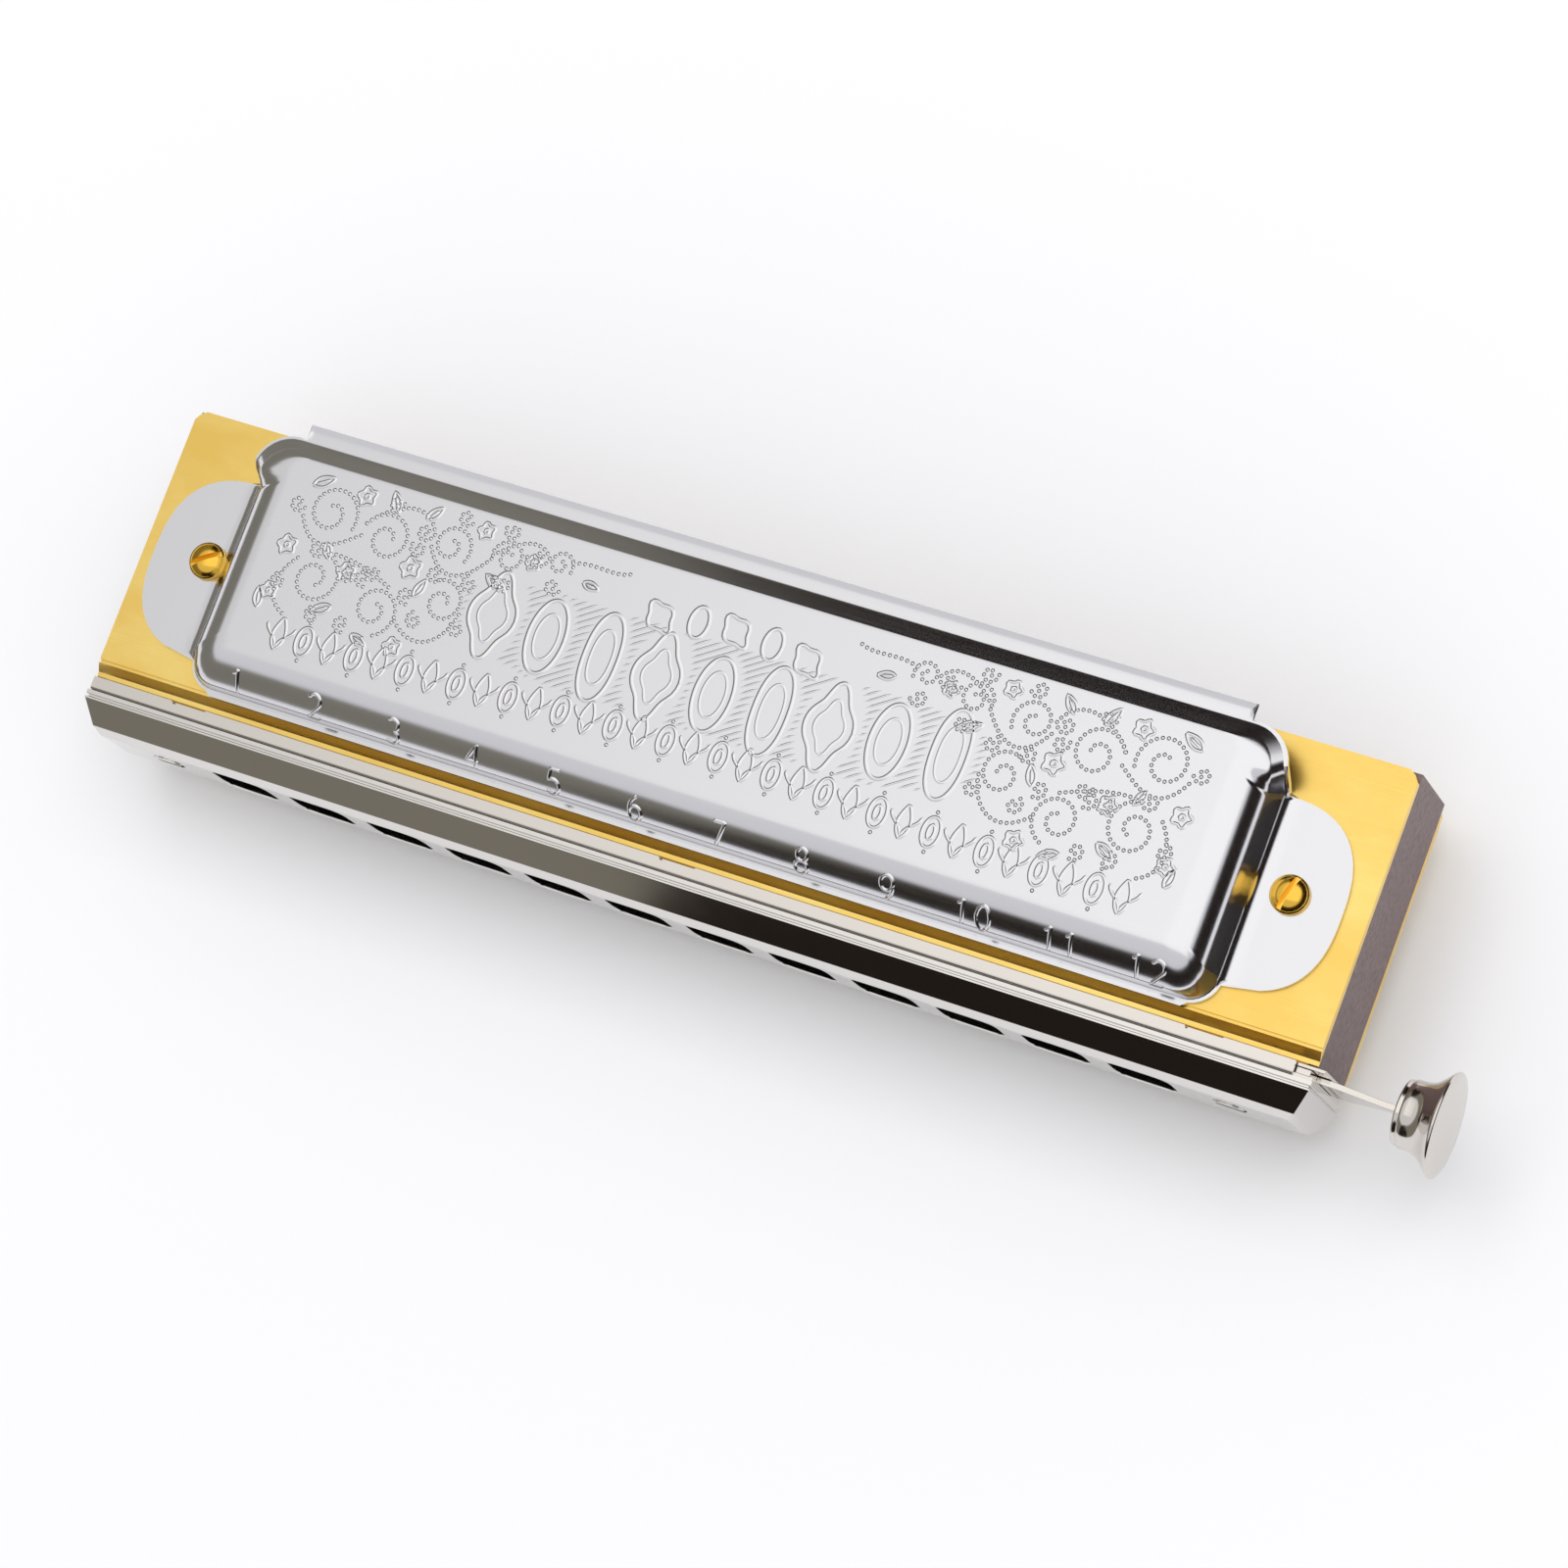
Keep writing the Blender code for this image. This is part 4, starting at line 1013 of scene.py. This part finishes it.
def on_front_shoulder(points, side):
    """Lays points drawn flat, with x, a run up the shoulder and a height off it, on the front
    shoulder of a cover."""
    inset, _, height = cover_profile(60)
    step = np.hypot(np.diff(inset), np.diff(height))
    run = np.concatenate([[0.0], np.cumsum(step)])
    along = points[:, 1]
    lean = np.gradient(inset) / np.maximum(np.hypot(np.gradient(inset), np.gradient(height)), 1e-9)
    rise = np.gradient(height) / np.maximum(np.hypot(np.gradient(inset), np.gradient(height)), 1e-9)
    y = PAN_FRONT + np.interp(along, run, inset) - np.interp(along, run, rise) * points[:, 2]
    z = np.interp(along, run, height) + np.interp(along, run, lean) * points[:, 2]
    return on_side(np.stack([points[:, 0], y, z], axis=-1), side)


digit_lines = []
for number in range(1, HOLES + 1):
    text = str(number)
    wide = len(text) * DIGIT_WIDE + (len(text) - 1) * DIGIT_SPACE
    for place, digit in enumerate(text):
        left = hole_x[number - 1] - wide / 2 + place * (DIGIT_WIDE + DIGIT_SPACE)
        for stroke in DIGIT_STROKES[digit]:
            low = DIGIT_MIDDLE - DIGIT_TALL / 2
            path = stroke * np.array([DIGIT_WIDE, DIGIT_TALL]) + (left, low)
            digit_lines.append(resample(path, 0.16))
digit_points, digit_faces = ridges(digit_lines, DIGIT_LINE, DIGIT_HEIGHT)
add_piece(
    "top_cover_numbers",
    on_front_shoulder(digit_points, 1),
    digit_faces,
    polished_steel,
    "body",
    "pressed_steel",
    sharp=70.0,
)


# Slide, its cage and its back plate
# Three strips of nickel-plated brass on the comb's front. The slide shifts between the back
# plate and the cage, and its two rows of windows open one row of channels or the other. The
# cage is folded over it at both edges, with small notches where it was held in the press.

BACK_PLATE_Y = (-16.9, -16.55)
SLIDE_Y = (-17.6, -16.95)
CAGE_FRONT = -18.0
CAGE_SHEET = 0.35
CAGE_HALF_HEIGHT = 6.65
CAGE_HALF_LENGTH = 69.9
CAGE_FLANGE_END = 67.9
CAGE_FLANGE_BACK = -16.55
CAGE_BEND = 0.42
NOTCH_X = (-58.2, 0.0, 58.2)
NOTCH = (4.1, 0.3)
WINDOW = (4.0, 2.7)
WINDOW_RISE = 1.75
SLIDE_TRAVEL = PITCH / 2
SLIDE_ENDS = (-65.0, 69.5)
SLIDE_HALF_HEIGHT = 5.9
TONGUE_ROOT_HALF = 3.0
TONGUE_TIP_HALF = 0.9
BUTTON_START = 77.8
STRIP_ENDS = (-69.4, 70.9)
STRIP_HALF_HEIGHT = 6.0
TONGUE_TURNS = (71.5, 76.2)
SCREW_GAP = 1.4
SCREW_GAP_PAST = 1.45
MOUTH_SCREW_X = 61.3

nickel_plate, nickel_tree, nickel_shader = new_material(
    "bright_nickel_plate", Metallic=1.0, Base_Color=linear("#d8d3cd")
)
hazed(nickel_tree, nickel_shader, (5.0, 5.0, 5.0), 0.08, 0.16, detail=4.0)

window_xs = hole_x[:, None] + np.array([-1, 1])[None, :] * WINDOW[0] / 2
window_zs = np.array([-1, 1])[:, None] * WINDOW_RISE + np.array([-1, 1])[None, :] * WINDOW[1] / 2


def windowed(xs, zs, kept, lower_shift=0.0):
    """The kept cells of a strip with its two rows of windows opened, the lower row shifted."""
    for number in range(HOLES):
        for row, shift in ((0, lower_shift), (1, 0.0)):
            low, high = window_zs[row]
            left, right = window_xs[number] + shift
            kept = kept & ~cells_inside(xs, zs, left, right, low, high)
    return kept


def upright(low_y, high_y):
    """Places a flat strip's points upright between two depths."""

    def place(u, v, face):
        return np.stack([u, np.full_like(u, high_y if face == 0 else low_y), v + MIDDLE], axis=-1)

    return place


strip_zs = lines_of(window_zs, np.array([-STRIP_HALF_HEIGHT, STRIP_HALF_HEIGHT]))
strip_xs = lines_of(window_xs, np.array(STRIP_ENDS))
back_plate_kept = windowed(strip_xs, strip_zs, whole_sheet(strip_xs, strip_zs))
back_plate = add_piece(
    "slide_back_strip",
    *pierced_sheet(strip_xs, strip_zs, back_plate_kept, upright(*BACK_PLATE_Y)),
    nickel_plate,
    "body",
    "nickel_plate",
    rounding=0.05,
)
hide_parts("slide_back_plate")


def slide_place(u, v, face):
    """Places the slide's points: past its windows it narrows to the tongue that carries the
    button."""
    root = SLIDE_ENDS[1]
    reach = np.array([root, root + 2.0, BUTTON_START - 1.6, BUTTON_START])
    half = np.array([TONGUE_ROOT_HALF + 0.5, TONGUE_ROOT_HALF, TONGUE_TIP_HALF, TONGUE_TIP_HALF])
    narrow = np.where(u > root + 0.01, np.interp(u, reach, half) / TONGUE_ROOT_HALF, 1.0)
    return upright(*SLIDE_Y)(u, v * narrow, face)


slide_zs = lines_of(
    window_zs,
    np.array([-1, 1])[:, None] * np.array([TONGUE_ROOT_HALF, SLIDE_HALF_HEIGHT]),
)
screw_gap_xs = np.array([-SCREW_GAP, SLIDE_TRAVEL + SCREW_GAP_PAST])
slide_xs = lines_of(
    window_xs,
    window_xs + SLIDE_TRAVEL,
    np.array([*SLIDE_ENDS, *TONGUE_TURNS, BUTTON_START]),
    np.array([-MOUTH_SCREW_X, MOUTH_SCREW_X])[:, None] + screw_gap_xs,
)
slide_strip = cells_inside(slide_xs, slide_zs, *SLIDE_ENDS, -SLIDE_HALF_HEIGHT, SLIDE_HALF_HEIGHT)
slide_kept = windowed(slide_xs, slide_zs, slide_strip, SLIDE_TRAVEL)
tongue = (SLIDE_ENDS[1], BUTTON_START, -TONGUE_ROOT_HALF, TONGUE_ROOT_HALF)
slide_kept |= cells_inside(slide_xs, slide_zs, *tongue)
for x in (-MOUTH_SCREW_X, MOUTH_SCREW_X):
    slide_kept &= ~cells_inside(slide_xs, slide_zs, *(x + screw_gap_xs), -SCREW_GAP, SCREW_GAP)
slide = add_piece(
    "slide_strip",
    *pierced_sheet(slide_xs, slide_zs, slide_kept, slide_place),
    nickel_plate,
    "slide",
    "nickel_plate",
    rounding=0.06,
)
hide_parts("slide")

BEND_RUN = CAGE_BEND * math.pi / 2
WEB_HALF = CAGE_HALF_HEIGHT - CAGE_BEND
FLANGE_RUN = CAGE_FLANGE_BACK - (CAGE_FRONT + CAGE_BEND)


def cage_place(u, v, face):
    """Folds the cage's flat strip: v runs over the lower flange, round its bend, up the web,
    round the upper bend and back over the upper flange. Face 0 is the inner side."""
    depth = 0.0 if face == 1 else CAGE_SHEET
    radius = CAGE_BEND - depth
    beyond = np.abs(v) - WEB_HALF
    turn = np.clip(beyond / BEND_RUN, 0.0, 1.0) * math.pi / 2
    flat = np.clip(beyond - BEND_RUN, 0.0, None)
    y = np.where(beyond > 0, CAGE_FRONT + CAGE_BEND - radius * np.cos(turn) + flat, CAGE_FRONT + depth)
    z = np.where(beyond > 0, WEB_HALF + radius * np.sin(turn), np.abs(v))
    return np.stack([u, y, MIDDLE + np.sign(v) * z], axis=-1)


cage_edge = WEB_HALF + BEND_RUN + FLANGE_RUN
cage_bend = WEB_HALF + BEND_RUN * np.linspace(0, 1, 7)
cage_vs = lines_of(
    window_zs,
    np.array([-1, 1])[:, None] * np.append(cage_bend, [cage_edge - NOTCH[1], cage_edge]),
)
cage_xs = lines_of(
    window_xs,
    np.array([-CAGE_HALF_LENGTH, CAGE_FLANGE_END, CAGE_HALF_LENGTH]),
    np.array(NOTCH_X)[:, None] + np.array([-0.5, 0.5])[None, :] * NOTCH[0],
)
flanged = cells_inside(cage_xs, cage_vs, -CAGE_HALF_LENGTH, CAGE_FLANGE_END, -cage_edge, cage_edge)
cage_kept = windowed(cage_xs, cage_vs, flanged)
cage_kept |= cells_inside(cage_xs, cage_vs, CAGE_FLANGE_END, CAGE_HALF_LENGTH, -WEB_HALF, WEB_HALF)
for x in NOTCH_X:
    for low, high in ((-cage_edge, NOTCH[1] - cage_edge), (cage_edge - NOTCH[1], cage_edge)):
        cage_kept &= ~cells_inside(cage_xs, cage_vs, x - NOTCH[0] / 2, x + NOTCH[0] / 2, low, high)
cage = add_piece(
    "slide_cage_channel",
    *pierced_sheet(cage_xs, cage_vs, cage_kept, cage_place),
    nickel_plate,
    "body",
    "chrome_plate",
    sharp=25.0,
    even=True,
)
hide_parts("slide_cage")


# Mouthpiece
# A heavy chrome-plated bar, machined from brass: a flat rim, a half-round bead behind a
# groove, a long bevel, a narrow steep facet and a front face with twelve soft-edged square
# holes. A countersunk screw at each end holds it and the cage to the comb.

MOUTH_BACK = -18.05
MOUTH_DEPTH = 3.95
MOUTH_HALF_LENGTH = 70.1
MOUTH_HALF_HEIGHT = 6.65
MOUTH_FACE_INSET = (1.95, 3.3)
MOUTH_HOLE_HALF = (3.35, 3.1)
HOLE_SQUARENESS = 4.5
HOLE_EDGE = 0.15
MOUTH_SEAT_RADIUS = 1.85
CELL_STEPS = 10
END_STEPS = 12
SIDE_STEPS = 8

# Depth before the back face, then the inset of the ends and of the top and bottom.
MOUTH_SECTIONS = (
    (0.0, 0.0, 0.0),
    (0.42, 0.0, 0.0),
    (0.49, 0.08, 0.08),
    (0.52, 0.24, 0.24),
    (0.66, 0.24, 0.24),
    (0.70, 0.1, 0.1),
    (0.77, 0.02, 0.02),
    (0.86, 0.0, 0.0),
    (0.95, 0.02, 0.02),
    (1.02, 0.08, 0.1),
    (3.30, 1.15, 1.86),
    (3.40, 1.25, 1.98),
    (3.80, 1.62, 2.9),
    (3.90, 1.75, 3.12),
    (MOUTH_DEPTH, *MOUTH_FACE_INSET),
)

face_half_x = MOUTH_HALF_LENGTH - MOUTH_FACE_INSET[0]
face_half_z = MOUTH_HALF_HEIGHT - MOUTH_FACE_INSET[1]
cell_edges = np.concatenate([[-face_half_x], (np.arange(HOLES + 1) - HOLES / 2) * PITCH, [face_half_x]])


def cell_xs(number):
    """Even steps along one cell of the front face: the end cells hold the screws."""
    steps = END_STEPS if number in (0, HOLES + 1) else CELL_STEPS
    return np.linspace(cell_edges[number], cell_edges[number + 1], steps + 1)


def rectangle_round(xs, zs):
    """The points of a rectangle's four sides in turn, anticlockwise from its lower left corner."""
    return np.concatenate(
        [
            np.column_stack([xs[:-1], np.full(len(xs) - 1, zs[0])]),
            np.column_stack([np.full(len(zs) - 1, xs[-1]), zs[:-1]]),
            np.column_stack([xs[:0:-1], np.full(len(xs) - 1, zs[-1])]),
            np.column_stack([np.full(len(zs) - 1, xs[0]), zs[:0:-1]]),
        ]
    )


def soft_square(outer, middle, half_x, half_z, power):
    """A rounded square round a middle, with one point in the direction of each outer point."""
    away = outer - middle
    turn = np.arctan2(away[:, 1] / half_z, away[:, 0] / half_x)
    c, s = np.cos(turn), np.sin(turn)
    reach = (np.abs(c) ** power + np.abs(s) ** power) ** (-1 / power)
    return middle + np.stack([c * reach * half_x, s * reach * half_z], axis=-1)


def at_depth(outline, depth):
    """An outline of the bar's X and height, placed at a depth in front of its back face."""
    return np.column_stack([outline[:, 0], np.full(len(outline), MOUTH_BACK - depth), MIDDLE + outline[:, 1]])


def mouth_cell(number):
    """One cell of the bar: rings from the front face's cell, over the soft edge of its hole,
    through to the same cell on the back face."""
    xs = cell_xs(number)
    zs = np.linspace(-face_half_z, face_half_z, SIDE_STEPS + 1)
    outer = rectangle_round(xs, zs)
    back_outer = rectangle_round(xs * MOUTH_HALF_LENGTH / face_half_x, zs * MOUTH_HALF_HEIGHT / face_half_z)
    if 0 < number <= HOLES:
        middle = np.array([hole_x[number - 1], 0.0])
        half = MOUTH_HOLE_HALF
        steps = [(HOLE_EDGE, 0.0), (HOLE_EDGE * 0.5, 0.03), (HOLE_EDGE * 0.15, 0.08), (0.0, HOLE_EDGE)]
        steps += [(0.0, MOUTH_DEPTH - 0.2), (0.12, MOUTH_DEPTH)]
        power = HOLE_SQUARENESS
    else:
        middle = np.array([math.copysign(MOUTH_SCREW_X, xs[0]), 0.0])
        half = (0.9, 0.9)
        seat = MOUTH_SEAT_RADIUS - 0.95
        steps = [(seat + 0.1, 0.0), (seat, 0.08), (seat, 0.8)]
        steps += [(0.0, 0.8), (0.0, MOUTH_DEPTH)]
        power = 2.0
    rings = [at_depth(outer, MOUTH_DEPTH)]
    for grow, below in steps:
        grow_up = min(grow, 0.22) if power > 2 else grow
        ring = soft_square(outer, middle, half[0] + grow, half[1] + grow_up, power)
        rings.append(at_depth(ring, MOUTH_DEPTH - below))
    rings.append(at_depth(back_outer, 0.0))
    count = len(outer)
    return np.concatenate(rings), grid_faces(len(rings), count, closed=True).tolist()


def mouth_skin():
    """The bar's outside, as rings of its outline at each section."""
    xs = np.unique(np.round(np.concatenate([cell_xs(number) for number in range(HOLES + 2)]), 9))
    zs = np.linspace(-face_half_z, face_half_z, SIDE_STEPS + 1)
    rings = []
    for depth, end_inset, top_inset in MOUTH_SECTIONS:
        wide = (MOUTH_HALF_LENGTH - end_inset) / face_half_x
        tall = (MOUTH_HALF_HEIGHT - top_inset) / face_half_z
        rings.append(at_depth(rectangle_round(xs * wide, zs * tall), depth))
    return np.concatenate(rings), grid_faces(len(rings), len(rings[0]), closed=True).tolist()


chrome_plate, chrome_tree, chrome_shader = new_material(
    "mirror_chrome_plate", Metallic=1.0, Base_Color=linear("#dcd9d6")
)
hazed(chrome_tree, chrome_shader, (9.0, 3.0, 3.0), 0.04, 0.1, detail=5.0)

mouthpiece = add_piece(
    "mouthpiece_bar",
    *joined(mouth_skin(), *[mouth_cell(number) for number in range(HOLES + 2)]),
    chrome_plate,
    "body",
    "chrome_plate",
    sharp=28.0,
    even=True,
)
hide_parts("mouthpiece")


# Push button
# Turned from brass and nickel plated: a collar with a rolled foot, a waist, and a flat round
# head for the finger. It is riveted on the slide's tongue and moves with it.

BUTTON_SIDES = 96
BUTTON_PROFILE = np.array(
    [
        (0.0, 4.86),
        (2.2, 4.86),
        (4.6, 4.82),
        (5.2, 4.76),
        (5.4, 4.66),
        (5.46, 4.52),
        (5.38, 4.34),
        (5.0, 3.95),
        (4.45, 3.4),
        (4.0, 2.9),
        (3.7, 2.4),
        (3.58, 1.8),
        (3.54, 1.2),
        (3.52, 0.75),
        (3.42, 0.6),
        (3.28, 0.52),
        (3.28, 0.4),
        (3.36, 0.3),
        (3.34, 0.1),
        (3.25, 0.02),
        (0.0, 0.02),
    ]
)


def turned(profile, sides):
    """A profile of radius and run, turned about an axis: (points, 3) with the axis third."""
    turn = np.arange(sides) * 2 * math.pi / sides
    x = profile[:, :1] * np.cos(turn)
    y = profile[:, :1] * np.sin(turn)
    z = profile[:, 1:] + 0 * turn
    return np.stack([x, y, z], axis=-1).reshape(-1, 3), grid_faces(len(profile), sides, closed=True).tolist()


button_points, button_faces = turned(BUTTON_PROFILE, BUTTON_SIDES)
button_places = np.column_stack(
    [
        button_points[:, 2] + BUTTON_START,
        button_points[:, 0] + sum(SLIDE_Y) / 2,
        button_points[:, 1] + MIDDLE,
    ]
)
button = add_piece(
    "slide_button_turned", button_places, button_faces, nickel_plate, "slide", "nickel_plate", sharp=60.0
)
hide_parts("slide_button")


# Cover screws and nuts
# A round-headed slotted brass screw at each end goes down through both covers, both plates
# and the comb, into a nut under the lower cover.

HEAD_RADIUS = 2.02
HEAD_HEIGHT = 1.5
HEAD_SEAT = COVER_SHEET + 2 * PLATE_GAP
SHANK_RADIUS = 1.1
SLOT_HALF = 0.27
SLOT_DEPTH = 0.75
SLOT_TURN = {"left": 35.0, "right": 75.0}

turned_brass, screw_tree, screw_shader = new_material(
    "turned_brass", Metallic=1.0, Base_Color=linear("#f1c14e")
)
hazed(screw_tree, screw_shader, (1.2, 1.2, 0.15), 0.12, 0.24, detail=3.0)


def slotted_head(radius, height, slot_half, slot_depth, edge):
    """A round head with a slot across it: rows run along the slot, and their height follows a
    dome, except between the slot's two walls, where it is the slot's flat floor."""
    half = np.sin(np.linspace(-math.pi / 2, math.pi / 2, 31)) * radius
    walls = [-slot_half, -slot_half + 0.02, slot_half - 0.02, slot_half]
    rows = np.sort(np.append(half[np.abs(half) > slot_half * 1.25], walls))
    share = np.sin(np.linspace(-math.pi / 2, math.pi / 2, 29))
    reach = np.sqrt(np.maximum(radius**2 - rows**2, 0.0))
    x = reach[:, None] * share
    y = rows[:, None] + 0 * share
    dome = edge + (height - edge) * np.sqrt(np.maximum(1 - (x**2 + y**2) / radius**2 * 0.97, 0.0))
    floor = height - slot_depth
    in_slot = np.abs(y) < slot_half - 0.01
    top = np.where(in_slot, np.minimum(dome, floor), dome)
    upper = np.stack([x, y, top], axis=-1).reshape(-1, 3)
    lower = np.stack([x, y, 0 * x], axis=-1).reshape(-1, 3)
    count_rows, count = x.shape
    faces = grid_faces(count_rows, count).tolist()
    faces += grid_faces(count_rows, count, first=len(upper))[:, ::-1].tolist()
    index = np.arange(len(upper)).reshape(x.shape)
    rim = np.concatenate([index[0], index[1:, -1], index[-1, -2::-1], index[-2:0:-1, 0]])
    ahead = np.roll(rim, -1)
    faces += np.stack([rim, rim + len(upper), ahead + len(upper), ahead], axis=-1).tolist()
    return np.concatenate([upper, lower]), faces


def spun(points, degrees):
    """Points turned about the third axis."""
    c, s = math.cos(math.radians(degrees)), math.sin(math.radians(degrees))
    return points @ np.array([[c, s, 0.0], [-s, c, 0.0], [0.0, 0.0, 1.0]])


for end, x in (("left", -COVER_SCREW_X), ("right", COVER_SCREW_X)):
    head_points, head_faces = slotted_head(HEAD_RADIUS, HEAD_HEIGHT, SLOT_HALF, SLOT_DEPTH, 0.25)
    head_points = spun(head_points, SLOT_TURN[end]) + (x, COVER_SCREW_Y, level(1, HEAD_SEAT))
    shank_profile = np.array(
        [
            (0.0, level(1, HEAD_SEAT) + 0.3),
            (SHANK_RADIUS, level(1, HEAD_SEAT) + 0.3),
            (SHANK_RADIUS, level(-1, 2.5)),
            (SHANK_RADIUS - 0.15, level(-1, 2.6)),
            (0.0, level(-1, 2.6)),
        ]
    )
    shank_points, shank_faces = turned(shank_profile, 32)
    screw = add_piece(
        "cover_screw_" + end + "_turned",
        *joined((head_points, head_faces), (shank_points + (x, COVER_SCREW_Y, 0.0), shank_faces)),
        turned_brass,
        "body",
        "fastener_brass",
        sharp=40.0,
    )
    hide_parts("cover_screw_" + end)
    repaint("cover_nut_" + end, turned_brass)
    repaint("mouthpiece_screw_" + end, nickel_plate)


# Reeds, valves and nails
# Under each cover a row of brass reeds is riveted on the plate, each over its slot. A second
# row is on the plate's inner face, and a thin plastic valve closes each of its slots from
# outside. Four round-headed nails hold the plate to the comb at the back.

REED_ROOT_THICK = 0.24
REED_TIP_THICK = 0.1
REED_TIP_RISE = 0.12
RIVET_PROFILE = np.array([(0.0, 0.42), (0.35, 0.41), (0.68, 0.33), (0.88, 0.18), (0.93, 0.0), (0.0, 0.0)])
NAIL_PROFILE = np.array([(0.0, 0.5), (0.35, 0.48), (0.66, 0.38), (0.85, 0.2), (0.9, 0.0), (0.0, 0.0)])
NAIL_X = (-50.0, -17.0, 17.0, 50.0)
NAIL_Y = 11.6
REED_TIP_SHARE = 0.82
REED_TAIL = 1.1
VALVE_THICK = 0.12
VALVE_TIP_SHARE = 0.95
VALVE_TIP_RISE = 0.25
VALVE_WIDTH = REED_WIDTH + 0.9
VALVE_TAIL = 2.2
VALVE_OVERLAP = 2.9

ground_brass, reed_tree, reed_shader = new_material("ground_reed_brass", Metallic=1.0)
reed_lines = hazed(reed_tree, reed_shader, (1.0, 0.06, 1.0), 0.25, 0.45, detail=3.0)
reed_colour = add_node(reed_tree, "ShaderNodeValToRGB", {"Fac": reed_lines})
reed_colour.color_ramp.elements[0].color = linear("#c99a4a")
reed_colour.color_ramp.elements[1].color = linear("#efcf86")
reed_tree.links.new(reed_colour.outputs["Color"], reed_shader.inputs["Base Color"])

valve_film, _, _ = new_material(
    "milky_valve_film", Roughness=0.45, Base_Color=linear("#e9e6dc"), Subsurface_Weight=0.1
)


def strip(x, start, length, width, tip_share, thick_root, thick_tip, rise):
    """A tongue that lies along Y: a grid of its two faces with its edges joined. It thins and
    narrows to its tip, which stands up a little."""
    along = np.linspace(0.0, 1.0, 13)
    across = np.array([-1.0, -0.9, 0.9, 1.0])
    half = width / 2 * (1 - (1 - tip_share) * along)
    u = x + half[:, None] * across
    v = start + length * along[:, None] + 0 * across
    low = rise * along[:, None] ** 2 + 0 * across
    thick = (thick_root + (thick_tip - thick_root) * along)[:, None] * np.array([0.75, 1.0, 1.0, 0.75])
    upper = np.stack([u, v, low + thick], axis=-1)
    lower = np.stack([u, v, low], axis=-1)
    loop = np.concatenate([upper, lower[:, ::-1]], axis=1)
    rows, columns = loop.shape[:2]
    faces = grid_faces(rows, columns, closed=True).tolist()
    faces.append(list(range(columns))[::-1])
    faces.append(list(range((rows - 1) * columns, rows * columns)))
    return loop.reshape(-1, 3), faces


for half_name, side in (("top", 1), ("bottom", -1)):
    inner_reeds = []
    valves = []
    for number in range(HOLES):
        length = slot_length[number]
        x = hole_x[number] - REED_OFFSET
        opposite_x = hole_x[number] + REED_OFFSET
        root = REED_ROOT_Y - REED_TAIL
        reach = SLOT_START_Y + length - SLOT_CLEAR - root
        blade = (root, reach, REED_WIDTH, REED_TIP_SHARE)
        reed = strip(x, *blade, REED_ROOT_THICK, REED_TIP_THICK, REED_TIP_RISE)
        rivet_points, rivet_faces = turned(RIVET_PROFILE, 20)
        rivet = (rivet_points + (x, REED_ROOT_Y, REED_ROOT_THICK - 0.02), rivet_faces)
        points, faces = joined(reed, rivet)
        points[:, 2] += PLATE_GAP
        node = f"{half_name}_reed_{number + 1:02d}"
        piece = add_piece(
            node + "_tongue", on_side(points, side), faces, ground_brass, "body", "reed_brass", sharp=40.0
        )
        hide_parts(node)
        inner = strip(opposite_x, *blade, -REED_ROOT_THICK, -REED_TIP_THICK, -REED_TIP_RISE)
        inner[0][:, 2] -= PLATE_THICK + 0.01
        inner_reeds.append(inner)
        flap = (SLOT_START_Y - VALVE_TAIL, length + VALVE_OVERLAP, VALVE_WIDTH, VALVE_TIP_SHARE)
        valve = strip(opposite_x, *flap, VALVE_THICK, VALVE_THICK, VALVE_TIP_RISE)
        valve[0][:, 2] += 0.02
        valves.append(valve)
    points, faces = joined(*inner_reeds)
    points = on_side(points, side)
    add_piece(half_name + "_inner_reeds", points, faces, ground_brass, "body", "reed_brass", sharp=40.0)
    points, faces = joined(*valves)
    points = on_side(points, side)
    add_piece(half_name + "_valves", points, faces, valve_film, "body", "soft_rubber", sharp=40.0)
    for number, x in enumerate(NAIL_X):
        points, faces = turned(NAIL_PROFILE, 24)
        points = points + (x, NAIL_Y, PLATE_GAP)
        node = f"{half_name}_plate_nail_{number + 1}"
        nail = add_piece(
            node + "_head", on_side(points, side), faces, turned_brass, "body", "fastener_brass", sharp=50.0
        )
        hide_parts(node)

spring_wire, spring_tree, spring_shader = new_material(
    "drawn_spring_wire", Metallic=1.0, Base_Color=linear("#a9abb0")
)
hazed(spring_tree, spring_shader, (0.3, 0.3, 2.0), 0.25, 0.4)
repaint("return_spring", spring_wire)

bumper_rubber, bumper_tree, bumper_shader = new_material("black_bumper_rubber", Base_Color=linear("#232324"))
hazed(bumper_tree, bumper_shader, (0.2, 0.2, 0.2), 0.6, 0.85)
repaint("slide_bumper", bumper_rubber)
